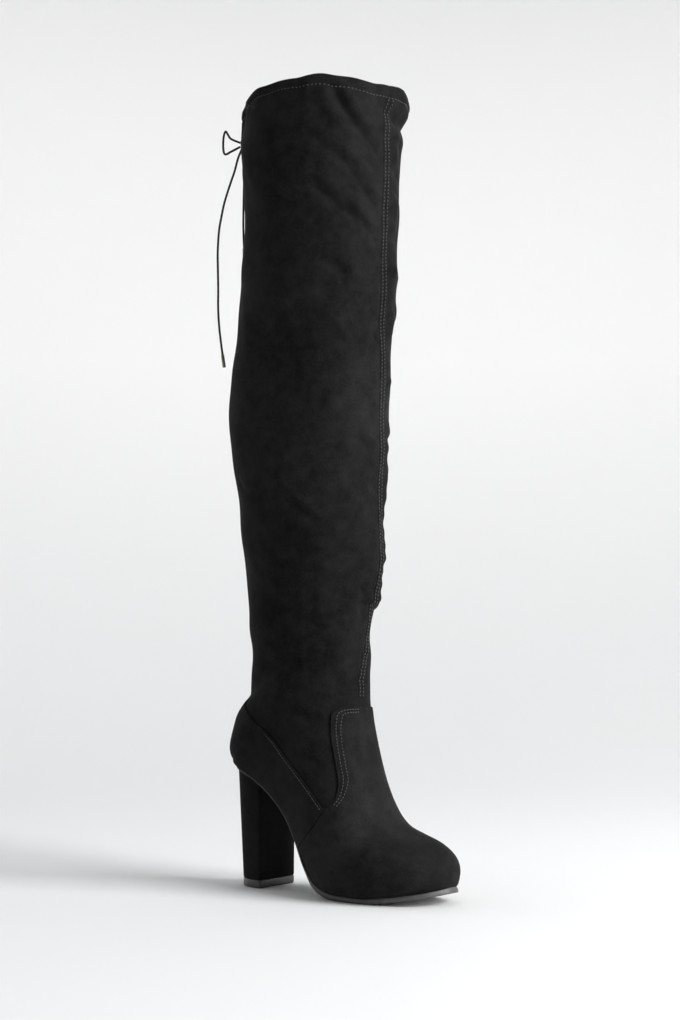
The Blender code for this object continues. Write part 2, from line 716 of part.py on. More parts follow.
def make_slider(tree):
    """The slider at the top of the teeth, with two ears and the pin that the pull hangs on."""
    middle, along, across, out = slider_frame(tree)
    axes = (along, across, out)
    base = middle + out * (slider_base(tree) + SLIDER_THICKNESS / 2)
    mesh = bmesh.new()
    block(mesh, base, (SLIDER_LENGTH / 2, SLIDER_WIDTH / 2, SLIDER_THICKNESS / 2), axes)
    slider = object_from("zip_slider", mesh)
    pin = pull_pin(tree)
    pin_height = (pin - base).dot(out)
    ear_half = (pin_height + PIN_DIAMETER) / 2
    gap_half = PULL_WIDTH / 2 + CUT_CLEARANCE
    for word, sign in (("outer", -1), ("inner", 1)):
        place = base + out * ear_half + across * sign * (gap_half + EAR_THICKNESS / 2)
        ear = block_object("slider_ear_" + word, place, (EAR_LENGTH / 2, EAR_THICKNESS / 2, ear_half), axes)
        cut(slider, ear, "UNION")
    reach = across * (gap_half + EAR_THICKNESS / 2)
    cut(slider, rod_object("slider_pin", pin - reach, pin + reach, PIN_DIAMETER / 2), "UNION")
    return finish(slider, (0.55, 0.55, 0.56), 0.28, 1.0)


def make_pull(tree):
    """The tag that hangs from the pin, with a round eye about it."""
    middle, along, across, out = slider_frame(tree)
    pin = pull_pin(tree)
    eye_radius = PIN_DIAMETER / 2 + CUT_CLEARANCE
    half = across * (PULL_WIDTH / 2)
    mesh = bmesh.new()
    rod(mesh, pin - half, pin + half, eye_radius + PULL_EYE_WALL, 16)
    pull = object_from("zip_pull", mesh)
    tag_middle = pin - along * (PULL_LENGTH / 2)
    sizes = (PULL_LENGTH / 2, PULL_WIDTH / 2 - 0.00005, PULL_THICKNESS / 2)
    cut(pull, block_object("pull_tag", tag_middle, sizes, (along, across, out)), "UNION")
    cut(pull, rod_object("pull_eye", pin - half * 1.4, pin + half * 1.4, eye_radius), "DIFFERENCE")
    return finish(pull, (0.6, 0.6, 0.61), 0.25, 1.0)


# Drawstring routes from the middle of the knot, in diameters of the cord, chosen by hand.
# A loop starts and ends at the knot, and an end runs from it to its aglet.
CORD_ROUTES = {
    "drawstring_loop": [
        (-2.75, -1.75, 1.50), (-5.00, -3.40, 2.75), (-6.15, -4.30, 4.80),
        (-6.95, -4.90, 6.15), (-7.60, -5.40, 3.50), (-7.70, -5.50, -1.45),
        (-7.00, -5.00, -4.15), (-4.75, -3.40, -2.90), (-2.50, -1.80, -1.40),
    ],
    "drawstring_end_long": [
        (-0.75, -1.70, -2.50), (-2.20, -2.00, -6.35), (-3.60, -2.55, -11.70),
        (-5.50, -3.90, -18.80), (-7.20, -5.15, -25.90), (-8.25, -5.85, -32.10),
        (-9.05, -6.45, -38.30), (-9.45, -6.75, -47.15), (-9.35, -6.70, -55.25),
        (-9.25, -6.55, -64.10), (-9.20, -6.55, -72.70), (-8.75, -6.30, -80.60),
        (-8.05, -5.80, -88.00), (-7.50, -5.40, -93.00),
    ],
    "drawstring_bow": [
        (-0.50, 2.75, -1.00), (-2.80, 6.75, -4.00), (-5.50, 10.75, -9.75),
        (-7.00, 13.50, -17.00), (-7.25, 14.50, -23.50), (-6.25, 16.00, -26.25),
        (-5.00, 18.00, -22.50), (-4.25, 18.00, -15.00), (-3.50, 14.00, -6.00),
        (-1.80, 7.50, 2.30), (-0.60, 3.10, 2.20),
    ],
    "drawstring_end_short": [
        (-1.50, 1.20, -2.50), (-3.40, 3.50, -7.50), (-5.25, 5.50, -15.00),
        (-6.75, 7.00, -24.00), (-7.25, 7.50, -34.00), (-7.00, 7.75, -44.00),
    ],
}


def smooth_route(points, spacing):
    """Points at even distances along a smooth curve through a route."""
    table = np.array(points)
    dense = read_table(table, np.linspace(0, len(table) - 1, 40 * len(table)))
    steps = np.linalg.norm(np.diff(dense, axis=0), axis=1)
    walked = np.concatenate([[0], np.cumsum(steps)])
    count = max(3, int(round(walked[-1] / spacing)))
    marks = np.linspace(0, walked[-1], count + 1)
    return np.stack([np.interp(marks, walked, dense[:, axis]) for axis in range(3)], axis=1)


def knot_middle(tree):
    """The middle of the knot, lying against the back of the hem."""
    z = level_height(KNOT_LEVEL)
    place, normal, index, distance = tree.ray_cast(Vector((-0.3, -KNOT_OFF_CENTRE, z)), Vector((1, 0, 0)))
    normal = -normal if normal.x > 0 else normal
    half = Vector((KNOT_WIDTH * normal.x, KNOT_LENGTH * normal.y, KNOT_HEIGHT * normal.z)).length / 2
    return place + normal * (HEM_STEP + CUT_CLEARANCE + half)


def knot_surface(direction):
    """A point just outside the knot's surface in a direction from its middle."""
    way = Vector(direction).normalized()
    size = 2 * Vector((way.x / KNOT_WIDTH, way.y / KNOT_LENGTH, way.z / KNOT_HEIGHT)).length
    return way * (1 / size + CUT_CLEARANCE)


def placed_route(name, knot):
    """A route in the boot's frame, with its ends at the knot brought to the knot's surface."""
    route = [Vector(point) * CORD_DIAMETER for point in CORD_ROUTES[name]]
    route[0] = knot_surface(route[0])
    if "_end_" not in name:
        route[-1] = knot_surface(route[-1])
    return [point + knot for point in route]


def make_cord(name, route):
    """A plain round cord along its route."""
    points = smooth_route(route, 3 * CORD_DIAMETER)
    data = bpy.data.curves.new(name, "CURVE")
    data.dimensions = "3D"
    spline = data.splines.new("POLY")
    spline.points.add(len(points) - 1)
    for target, point in zip(spline.points, points):
        target.co = (*point, 1)
    data.bevel_depth = CORD_DIAMETER / 2
    data.bevel_resolution = 1
    data.use_fill_caps = True
    thing = bpy.data.objects.new(name, data)
    bpy.context.collection.objects.link(thing)
    return finish(thing, (0.015, 0.015, 0.016), 0.6)


def make_knot(middle):
    """The drawstring's knot at the back of the hem."""
    mesh = bmesh.new()
    bmesh.ops.create_icosphere(mesh, subdivisions=2, radius=0.5)
    for vert in mesh.verts:
        vert.co = Vector((vert.co.x * KNOT_WIDTH, vert.co.y * KNOT_LENGTH, vert.co.z * KNOT_HEIGHT)) + middle
    return finish(object_from("drawstring_knot", mesh), (0.015, 0.015, 0.016), 0.6)


def make_aglet(name, route):
    """The metal sleeve that carries on from a cord's end."""
    end = Vector(route[-1])
    run = (end - Vector(route[-2])).normalized()
    start = end + run * CUT_CLEARANCE
    mesh = bmesh.new()
    rod(mesh, start, start + run * AGLET_LENGTH, AGLET_DIAMETER / 2)
    return finish(object_from(name, mesh), (0.08, 0.07, 0.06), 0.3, 1.0)


def make_drawstring(tree):
    """Knot, loops, ends and aglets."""
    knot = knot_middle(tree)
    make_knot(knot)
    for name in CORD_ROUTES:
        route = placed_route(name, knot)
        make_cord(name, route)
        if "_end_" in name:
            make_aglet(name.replace("drawstring_end", "aglet"), route)


def main():
    """Build every piece of the boot."""
    slot = side_prism("zip_slot", zip_outline(ZIP_SLOT, 0, 0), 0.004, BALL_WIDTH)
    make_upper(slot)
    make_counter(slot)
    make_vamp()
    make_outsole()
    make_insole()
    make_heel()
    make_heel_tip()
    tree = plain_skin()
    make_zip(tree)
    make_slider(tree)
    make_pull(tree)
    make_drawstring(tree)


main()
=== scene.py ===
# %% [markdown]
# # A thigh high boot in soft black suede
# The imported CAD model is the frame of this lesson. Every piece below is laid on it, in the
# same metres and the same axes: +X runs to the toe, +Z up, -Y is the outer side of the foot
# and +Y the inner side with the zip.

# %% Load the frame
import math

import bmesh
import bpy
import numpy as np
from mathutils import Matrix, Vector
from mathutils.bvhtree import BVHTree


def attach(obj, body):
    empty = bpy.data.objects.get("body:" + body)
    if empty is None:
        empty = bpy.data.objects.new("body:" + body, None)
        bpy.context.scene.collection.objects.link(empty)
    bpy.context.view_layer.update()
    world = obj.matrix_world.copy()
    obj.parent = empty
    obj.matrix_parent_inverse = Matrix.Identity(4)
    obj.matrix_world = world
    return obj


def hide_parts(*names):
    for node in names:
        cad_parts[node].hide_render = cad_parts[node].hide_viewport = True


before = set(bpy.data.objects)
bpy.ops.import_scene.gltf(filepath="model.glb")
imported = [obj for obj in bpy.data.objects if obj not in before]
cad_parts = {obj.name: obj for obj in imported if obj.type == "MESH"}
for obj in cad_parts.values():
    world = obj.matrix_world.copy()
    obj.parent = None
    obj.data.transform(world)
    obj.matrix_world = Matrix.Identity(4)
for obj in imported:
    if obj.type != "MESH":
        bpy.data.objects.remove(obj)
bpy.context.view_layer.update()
print("nodes:", ", ".join(sorted(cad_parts)))

# %% [markdown]
# ## The camera
# A long lens, low down and a little under the middle of the boot, looks slightly up from the
# toe's outer side. A camera near the floor is what makes the shaft stand tall over a short
# foot. The place comes from fitting the boot's outline, and the aim only turns the camera
# until the boot stands in the middle of the picture.

# %% Camera
LENS_MM = 59.65
SENSOR_MM = 36.0
CAMERA_PLACE = Vector((0.9599, -1.1135, 0.2017))
CAMERA_AHEAD = Vector((-0.5774, 0.8124, 0.0812))
CAMERA_TURN_DEG = 2.81

camera_data = bpy.data.cameras.new("camera")
camera_data.lens = LENS_MM
camera_data.sensor_width = SENSOR_MM
camera_data.sensor_fit = "AUTO"
camera = bpy.data.objects.new("camera", camera_data)
bpy.context.collection.objects.link(camera)
turn = math.radians(CAMERA_TURN_DEG)
ahead = Vector((
    CAMERA_AHEAD.x * math.cos(turn) - CAMERA_AHEAD.y * math.sin(turn),
    CAMERA_AHEAD.x * math.sin(turn) + CAMERA_AHEAD.y * math.cos(turn),
    CAMERA_AHEAD.z,
))
camera.location = CAMERA_PLACE
camera.rotation_euler = ahead.to_track_quat("-Z", "Y").to_euler()
bpy.context.scene.camera = camera
print("camera", tuple(round(v, 3) for v in camera.location))

# %% [markdown]
# ## Shader sums as plain Python
# A node tree is easier to read as arithmetic. One small class wraps a socket, and its
# operators add the Math nodes, also where the number stands first. Every other kind of node
# comes from the one method `node` of a finish.

# %% A socket that can be reckoned with
class Value:
    """A number in a node tree: sums on it add Math nodes."""

    def __init__(self, finish, socket):
        self.finish = finish
        self.socket = socket

    def math(self, operation, *others):
        return self.finish.node("ShaderNodeMath", {"operation": operation}, dict(enumerate((self,) + others)))

    def __add__(self, other):
        return self.math("ADD", other)

    def __mul__(self, other):
        return self.math("MULTIPLY", other)

    def __sub__(self, other):
        return self.math("SUBTRACT", other)

    def __truediv__(self, other):
        return self.math("DIVIDE", other)

    def __rsub__(self, other):
        return self.finish.node("ShaderNodeMath", {"operation": "SUBTRACT"}, {0: other, 1: self})

    __radd__ = __add__
    __rmul__ = __mul__

    def clamp(self, low=0.0, high=1.0):
        return self.math("MAXIMUM", low).math("MINIMUM", high)


class Finish:
    """A material, built node by node."""

    def __init__(self, name, roughness=0.8, metallic=0.0, **constants):
        self.material = bpy.data.materials.new(name)
        self.material.use_nodes = True
        self.tree = self.material.node_tree
        self.shader = self.tree.nodes["Principled BSDF"]
        self.shader.inputs["Roughness"].default_value = roughness
        self.shader.inputs["Metallic"].default_value = metallic
        for name, value in constants.items():
            self.shader.inputs[name.replace("_", " ")].default_value = value
        self.place = self.node("ShaderNodeTexCoord", out="Object")

    def node(self, kind, settings=None, inputs=None, out=0):
        """A node with its settings and inputs; hands back one of its outputs."""
        made = self.tree.nodes.new(kind)
        for name, value in (settings or {}).items():
            if name == "stops":
                while len(made.color_ramp.elements) < len(value):
                    made.color_ramp.elements.new(0.5)
                for element, (position, colour) in zip(made.color_ramp.elements, value):
                    element.position = position
                    element.color = colour
            else:
                setattr(made, name, value)
        for name, value in (inputs or {}).items():
            if isinstance(value, Value):
                self.tree.links.new(value.socket, made.inputs[name])
            else:
                made.inputs[name].default_value = value
        return Value(self, made.outputs[out])

    def noise(self, scale, detail=3.0, rough=0.55, place=None, stretch=None):
        """Noise at a scale per metre, from 0 to 1, stretched along the axes if asked."""
        place = place or self.place
        if stretch:
            place = self.node("ShaderNodeMapping", {}, {"Vector": place, "Scale": stretch})
        return self.node("ShaderNodeTexNoise", {}, {
            "Vector": place, "Scale": scale, "Detail": detail, "Roughness": rough,
        })

    def mix(self, share, first, second):
        """A colour between two."""
        node = self.tree.nodes.new("ShaderNodeMix")
        node.data_type = "RGBA"
        for name, value in (("Factor_Float", share), ("A_Color", first), ("B_Color", second)):
            socket = next(s for s in node.inputs if s.identifier == name)
            if isinstance(value, Value):
                self.tree.links.new(value.socket, socket)
            else:
                socket.default_value = value
        return Value(self, next(s for s in node.outputs if s.identifier == "Result_Color"))

    def set(self, name, value):
        """Link a value to the shader, or set a plain number or colour on it."""
        if isinstance(value, Value):
            self.tree.links.new(value.socket, self.shader.inputs[name])
        else:
            self.shader.inputs[name].default_value = value

    def relief(self, height, distance, strength=1.0):
        """Bump the surface by a height from 0 to 1 times a distance in metres."""
        bump = self.node("ShaderNodeBump", {}, {"Height": height, "Distance": distance, "Strength": strength})
        self.set("Normal", bump)


def grey(level, warmth=0.0):
    """A grey colour, a little warmer or cooler."""
    return (level * (1 + warmth), level, level * (1 - warmth), 1.0)


print("finishes are built from", Finish.__name__)

# %% [markdown]
# ## Suede
# The cloth is a napped microfibre: nearly black, dull from straight ahead and lighter where
# one looks along the surface, because the tips of the fibres catch the light. The sheen
# lobe of the shader gives that. Three noises colour it: broad strokes where a hand has
# brushed the nap, smaller mottling, and the fibres themselves, which also make the bump.

# %% Suede and its relatives
def suede_finish(name, dark, light, nap=1.0):
    """Napped cloth between two greys."""
    finish = Finish(name, 0.92, Sheen_Weight=0.06, Sheen_Roughness=0.28, Sheen_Tint=(0.82, 0.80, 0.79, 1))
    strokes = finish.noise(13.0, 3.0, 0.6, stretch=(1.0, 1.0, 0.5))
    mottle = finish.noise(95.0, 5.0, 0.68)
    fibres = finish.noise(2300.0, 2.0, 0.6, stretch=(1.0, 1.0, 0.7))
    brushed = ((strokes - 0.5) * 1.3 + (mottle - 0.5) * 1.1 + (fibres - 0.5) * 1.5 + 0.45).clamp()
    finish.set("Base Color", finish.mix(brushed, grey(dark), grey(light, 0.02)))
    finish.set("Roughness", (0.84 + mottle * 0.12).clamp())
    finish.relief(fibres * 0.6 + finish.noise(620.0, 3.0, 0.6) * 0.6, 0.00045 * nap, 0.7)
    finish.set("Specular IOR Level", 0.07)
    return finish


# The vamp's copy is lighter and the heel's darker than the shaft's suede: painted light on the top of the foot and
# painted shade on the heel, on one and the same cloth.
suede = suede_finish("suede", 0.0012, 0.0172)
counter_suede = suede_finish("suede_counter", 0.0019, 0.0175)
lit_vamp_suede = suede_finish("suede_vamp_lit", 0.0022, 0.0200)
shaded_heel_suede = suede_finish("suede_heel_shaded", 0.0016, 0.0140)

def grained(name, roughness, colours, grain, bump, gloss=None, metallic=0.0, **constants):
    """A plainer finish: two colours mixed by a noise, bumps from another and, if asked, uneven gloss.

    Grain is a noise's scale and detail, bump a scale, a detail and a depth in metres, and
    gloss the least roughness, how much a noise adds to it, and that noise's own numbers.
    """
    finish = Finish(name, roughness, metallic, **constants)
    finish.set("Base Color", finish.mix(finish.noise(*grain), *colours))
    if gloss:
        finish.set("Roughness", gloss[0] + finish.noise(*gloss[2:]) * gloss[1])
    finish.relief(finish.noise(*bump[:2]), bump[2])
    return finish


thread = grained("thread", 0.6, (grey(0.030), grey(0.065)), (900.0, 3.0), (2600.0, 2.0, 0.0001), Sheen_Weight=0.1)
lining = grained("lining", 0.9, (grey(0.006), grey(0.014)), (260.0, 4.0), (1500.0, 3.0, 0.0003))
print("suede:", suede.material.name, "and its relatives")

# %% [markdown]
# ## Rubber, plastic, metal and cord
# The sole is a thin moulded unit, a paler grey at the forefoot than at the waist. The heel's tip is a
# hard, glossy plastic.
# Fine scratches and a little unevenness in the gloss keep them from looking computed.

# %% Hard finishes
sole_edge = Finish("sole_edge", 0.5)
ahead_share = sole_edge.node("ShaderNodeSeparateXYZ", {}, {"Vector": sole_edge.place})
forefoot_share = ((ahead_share - 0.050) / 0.050).clamp()
forefoot_grey = sole_edge.mix(sole_edge.noise(220.0, 4.0), grey(0.030), grey(0.062))
waist_grey = sole_edge.mix(sole_edge.noise(180.0, 4.0), grey(0.006), grey(0.012))
sole_edge.set("Base Color", sole_edge.mix(forefoot_share, waist_grey, forefoot_grey))
sole_edge.set("Roughness", 0.42 + sole_edge.noise(400.0, 3.0) * 0.2)
sole_edge.relief(sole_edge.noise(900.0, 3.0), 0.0001)

tip_plastic = grained(
    "tip_plastic", 0.3, (grey(0.030), grey(0.050)), (120.0, 3.0), (1500.0, 2.0, 0.00004), (0.24, 0.18, 700.0, 4.0),
)

zip_cloth = Finish("zip_cloth", 0.85)
weave = zip_cloth.node("ShaderNodeTexWave", {"bands_direction": "Z"}, {
    "Vector": zip_cloth.place, "Scale": 420.0, "Distortion": 1.0, "Detail": 1.0,
})
zip_cloth.set("Base Color", zip_cloth.mix(weave, grey(0.008), grey(0.020)))
zip_cloth.relief(weave, 0.0001)

coil_nylon = grained("zip_coil", 0.42, (grey(0.016), grey(0.030)), (500.0, 3.0), (1800.0, 3.0, 0.00004))
nickel = grained(
    "nickel", 0.2, (grey(0.50, 0.01), grey(0.62, 0.01)), (300.0, 3.0), (1800.0, 3.0, 0.00003),
    (0.16, 0.22, 900.0, 4.0, 0.55, None, (1.0, 1.0, 0.2)), metallic=1.0,
)
dark_metal = grained(
    "aglet_metal", 0.3, (grey(0.10, 0.18), grey(0.30, 0.28)), (400.0, 3.0), (1800.0, 3.0, 0.00003),
    (0.22, 0.2, 900.0, 3.0), metallic=1.0,
)
cord_cloth = grained(
    "cord_cloth", 0.75, (grey(0.008), grey(0.020)), (1200.0, 3.0), (2600.0, 3.0, 0.0001),
    Sheen_Weight=0.3, Sheen_Roughness=0.4,
)
print("hard finishes:", 7)

# %% [markdown]
# ## The form as a function of two numbers
# The CAD boot is a row of bands that stand across the boot and lean like a fan, from the
# toe round to the rim. Repeated here as shares of a few named sizes, they give a surface
# skin(place, around): place counts the bands, and around runs from -1 on the outer low edge
# over the ridge at 0 to 1 on the inner low edge. Reading it at a finer spacing than the CAD
# does is what makes room for folds, hems and stitches.

# %% Named sizes and the tables of the form
FOOT_LENGTH = 0.222
BALL_WIDTH = 0.095
HEEL_HEIGHT = 0.105
ANKLE_RISE = 0.095
LEG_HEIGHT = 0.460
LEG_WIDTH = 0.125
RIM_LIFT = 0.011
ORIGIN_ALONG = 0.0263
SOLE_TOP = 0.0045
SQUARENESS = 2.1
CLOSED_FROM = 17
TOE_LINE = 0.03
FOOT_SECTIONS = """
0.993 0.184 0.989 0.090 0.000 0.000 0.50 38 / 0.987 0.239 0.983 0.085 0.111 0.105 0.48 38
0.972 0.299 0.966 0.075 0.205 0.195 0.46 38 / 0.944 0.353 0.939 0.061 0.300 0.279 0.43 38
0.896 0.403 0.896 0.045 0.389 0.358 0.40 38 / 0.829 0.448 0.820 0.021 0.468 0.416 0.37 38
0.759 0.507 0.734 0.000 0.511 0.442 0.33 38 / 0.709 0.602 0.649 0.000 0.516 0.447 0.30 38
0.671 0.746 0.563 0.008 0.495 0.432 0.29 40 / 0.644 0.915 0.486 0.067 0.447 0.400 0.32 43
0.623 1.111 0.426 0.194 0.411 0.374 0.38 47 / 0.606 1.311 0.372 0.383 0.395 0.368 0.44 51
0.592 1.479 0.313 0.582 0.400 0.389 0.50 53 / 0.586 1.621 0.243 0.746 0.416 0.405 0.55 53
0.586 1.737 0.162 0.864 0.421 0.416 0.60 54 / 0.589 1.826 0.081 0.948 0.432 0.421 0.62 57
0.592 1.884 0.038 0.988 0.437 0.426 0.62 70 / 0.594 1.921 0.022 1.005 0.442 0.432 0.61 90
0.596 1.979 0.009 1.084 0.442 0.437 0.60 90 / 0.598 2.009 0.008 1.211 0.442 0.437 0.59 90
0.600 2.022 0.023 1.368 0.435 0.430 0.58 90 / 0.604 2.037 0.056 1.537 0.435 0.430 0.55 90
0.608 2.059 0.097 1.737 0.453 0.448 0.53 90 / 0.614 2.087 0.113 2.000 0.486 0.483 0.52 90
"""
LEG_SECTIONS = """
1.109 2.135 0.176 2.098 0.398 0.000 / 1.136 2.207 0.136 2.196 0.430 0.000
1.164 2.326 0.086 2.326 0.476 0.015 / 1.195 2.439 0.050 2.439 0.496 0.030
1.230 2.554 0.116 2.554 0.492 0.045 / 1.256 2.670 0.200 2.670 0.500 0.065
1.288 2.776 0.276 2.776 0.508 0.085 / 1.324 2.883 0.248 2.883 0.520 0.095
1.344 2.948 0.212 2.948 0.528 0.096 / 1.340 3.000 0.216 3.000 0.528 0.096
"""


def numbers(text):
    """A table typed as rows of numbers, parted by slashes or lines."""
    rows = [row.split() for row in text.replace("\n", "/").split("/") if row.strip()]
    return np.array(rows, dtype=float)


def height_of(level):
    """Height above the floor of a level: 0 is the sole's top, 1 the seat, 2 the ankle, 3 the rim."""
    ankle = HEEL_HEIGHT + ANKLE_RISE
    return np.interp(level, [0, 1, 2, 3], [SOLE_TOP, HEEL_HEIGHT, ankle, ankle + LEG_HEIGHT])


foot = numbers(FOOT_SECTIONS)
leg = numbers(LEG_SECTIONS)
foot_rows = np.column_stack([
    foot[:, 0] * FOOT_LENGTH - ORIGIN_ALONG, height_of(foot[:, 1]),
    foot[:, 2] * FOOT_LENGTH - ORIGIN_ALONG, height_of(foot[:, 3]),
    foot[:, 4] * BALL_WIDTH, foot[:, 5] * BALL_WIDTH, np.zeros(len(foot)), foot[:, 6], foot[:, 7],
])
leg_rows = np.column_stack([
    leg[:, 0] * LEG_WIDTH - ORIGIN_ALONG, height_of(leg[:, 1]),
    leg[:, 2] * LEG_WIDTH - ORIGIN_ALONG, height_of(leg[:, 3]),
    leg[:, 4] * LEG_WIDTH, leg[:, 4] * LEG_WIDTH, -leg[:, 5] * LEG_WIDTH,
    np.full(len(leg), 0.5), np.full(len(leg), 90.0),
])
SECTIONS = np.vstack([foot_rows, leg_rows])
LAST = len(SECTIONS) - 1
HEM_FROM = len(foot) + 8
print(len(SECTIONS), "sections, rim at", round(float(height_of(3.0)) * 1000), "mm")

# %% [markdown]
# ## Reading the form
# Between two bands every number follows a Catmull-Rom curve, so that the surface passes
# through all of them without a kink. Within a band the upper half is a slightly squared
# ellipse, and below its widest level the side curls in under the foot until the sole cuts it.

# %% The skin and its normals
def between_rows(table, place):
    """Catmull-Rom: a cubic through the rows, whose slope at a row is half the step between its neighbours."""
    padded = np.vstack([2 * table[0] - table[1], table, 2 * table[-1] - table[-2]])
    start = np.clip(np.asarray(place).astype(int), 0, len(table) - 2)
    t = (place - start)[..., None]
    a, b, c, d = (padded[start + k] for k in range(4))
    return (2 * b + (c - a) * t + (2 * a - 5 * b + 4 * c - d) * t**2 + (3 * b - a - 3 * c + d) * t**3) / 2


def smooth(low, high, value):
    """A step from 0 to 1 that starts and ends level."""
    share = np.clip((value - low) / (high - low), 0, 1)
    return share * share * (3 - 2 * share)


def bell(value, width):
    """1 at nought, about a third at a width and nothing at twice a width: e to minus the squared share."""
    return np.exp(-((value / width) ** 2))


def walked_along(points):
    """How far each point of a line lies along it, from its first point."""
    return np.concatenate([[0], np.cumsum(np.linalg.norm(np.diff(points, axis=0), axis=1))])


def kept_round(place, around):
    """Around values brought back on the ring: past the back above the seat, and cut off at the sole before it."""
    return np.where(place >= CLOSED_FROM, (around + 1) % 2 - 1, np.clip(around, -1, 1))


def skin(place, around):
    """Points of the plain outside: width times a squared cosine across, and depth times a squared sine up.

    In the first band the width follows the root of the place, which rounds the tip of the toe.
    """
    place, around = np.broadcast_arrays(np.asarray(place, float), np.asarray(around, float))
    rows = between_rows(SECTIONS, place)
    top_x, top_z, low_x, low_z, outer, inner, lean, widest, closing = np.moveaxis(rows, -1, 0)
    closing = np.where(place >= CLOSED_FROM, 90.0, np.minimum(closing, 90.0))
    depth = np.hypot(top_x - low_x, top_z - low_z)
    angle = np.radians(90 - np.abs(around) * (90 + closing))
    upper = angle >= 0
    across = np.where(upper, np.abs(np.cos(angle)) ** (2 / SQUARENESS), np.cos(angle))
    rise = np.where(upper, np.abs(np.sin(angle)) ** (2 / SQUARENESS), 0)
    high = widest * depth + (1 - widest) * depth * rise
    low = widest * depth * (1 + np.sin(angle) / np.sin(np.radians(closing)))
    along = np.where(upper, high, low)
    tip = np.clip(place, 1e-4, 1)
    width = np.maximum(np.where(around < 0, outer, inner), 0) * tip ** ((tip - 1) / 2)
    y = np.sign(around) * width * across + lean
    x = low_x + (top_x - low_x) / depth * along
    z = low_z + (top_z - low_z) / depth * along
    outer_side = np.where(around < 0, np.sin(np.pi * np.abs(around)), 0)
    z = z + RIM_LIFT * smooth(height_of(2.80), height_of(3.0), z) * outer_side
    return np.stack([x, y, z], axis=-1)


def unit(vectors):
    return vectors / np.maximum(np.linalg.norm(vectors, axis=-1, keepdims=True), 1e-12)


def skin_normal(place, around):
    """Outward normals: the cross product of a small step around and a small step along."""
    place, around = np.broadcast_arrays(np.asarray(place, float), np.asarray(around, float))
    step = 0.012
    place = np.clip(place, TOE_LINE, LAST)
    right, left = kept_round(place, around + step), kept_round(place, around - step)
    across = skin(place, right) - skin(place, left)
    along = skin(np.minimum(place + step, LAST), around) - skin(np.maximum(place - step, 0), around)
    return unit(np.cross(across, along))


def sole_up(place):
    """The unit step up from the sole's top, square to its run from heel to toe."""
    step = 0.05
    place = np.clip(place, step, CLOSED_FROM - 1.5)
    ahead_row = between_rows(SECTIONS, place - step)
    behind_row = between_rows(SECTIONS, place + step)
    run = unit(ahead_row[..., 2:4] - behind_row[..., 2:4])
    return np.stack([-run[..., 1], np.zeros(run.shape[:-1]), run[..., 0]], axis=-1)


def raised(place, around, offset):
    """The skin moved out by an offset; near the sole the move stays level with the sole's top."""
    place, around = np.broadcast_arrays(np.asarray(place, float), np.asarray(around, float))
    normal = skin_normal(place, around)
    mirrored = unit(normal + skin_normal(place, -around) * [1, -1, 1])
    normal = np.where(place[..., None] < TOE_LINE, unit(mirrored * [1, 0, 1]), normal)
    move = normal * np.asarray(offset)[..., None]
    up = sole_up(place)
    below_top = np.minimum((move * up).sum(axis=-1, keepdims=True), 0)
    low = smooth(0.90, 1.0, np.abs(around))[..., None] * (place <= CLOSED_FROM)[..., None]
    return skin(place, around) + move - below_top * up * low


def even_places(first, last, count):
    """Places whose bands lie evenly far apart, measured as the mean of five lines along the boot."""
    fine = np.linspace(first, last, 1200)
    lines = skin(fine[:, None], np.array([-0.98, -0.5, 0.0, 0.5, 0.98])[None, :])
    walked = np.linalg.norm(np.diff(lines, axis=0), axis=2).mean(axis=1) + 1e-5
    return np.interp(np.linspace(0, 1, count), np.concatenate([[0], np.cumsum(walked)]) / walked.sum(), fine)


print("ridge at the ankle:", skin(16.0, 0.0).round(4))

# %% [markdown]
# ## From grids to pieces
# A mesh is one array of points and a few arrays of faces. `piece` hands both to Blender in
# whole blocks, welds what coincides, such as the two edges of a closed ring, and does the
# bookkeeping of the frame: the body it rides on and the CAD nodes it stands for.

# %% Making a piece
WELD = 4e-6


def grid_faces(rows, cols, start=0):
    """The quads of a grid of rows by cols points, wound so that they face out on the skin."""
    corner = start + np.arange(rows - 1)[:, None] * cols + np.arange(cols - 1)[None, :]
    return np.stack([corner, corner + 1, corner + cols + 1, corner + cols], axis=-1).reshape(-1, 4)


def mesh_from(name, points, faces, weld=WELD):
    """A mesh object from an array of points and a list of face arrays."""
    data = bpy.data.meshes.new(name)
    points = np.asarray(points, dtype=np.float32).reshape(-1, 3)
    faces = [np.asarray(block) for block in faces]
    corners = np.concatenate([block.ravel() for block in faces]).astype(np.int32)
    sizes = np.concatenate([np.full(len(block), block.shape[1]) for block in faces])
    data.vertices.add(len(points))
    data.vertices.foreach_set("co", points.ravel())
    data.loops.add(len(corners))
    data.loops.foreach_set("vertex_index", corners)
    data.polygons.add(len(sizes))
    data.polygons.foreach_set("loop_start", np.concatenate([[0], np.cumsum(sizes)[:-1]]).astype(np.int32))
    data.update(calc_edges=True)
    if weld:
        mesh = bmesh.new()
        mesh.from_mesh(data)
        bmesh.ops.remove_doubles(mesh, verts=mesh.verts, dist=weld)
        mesh.to_mesh(data)
        mesh.free()
    data.validate()
    thing = bpy.data.objects.new(name, data)
    bpy.context.collection.objects.link(thing)
    data.shade_smooth()
    return thing


def dress(thing, finish, slot, *stands_for, body="boot"):
    """Give a piece its finish, its body and the CAD nodes it stands for. The slot is not used."""
    thing.data.materials.clear()
    thing.data.materials.append(finish.material)
    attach(thing, body)
    if stands_for:
        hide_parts(*stands_for)
    print(thing.name, len(thing.data.polygons), "faces")
    return thing


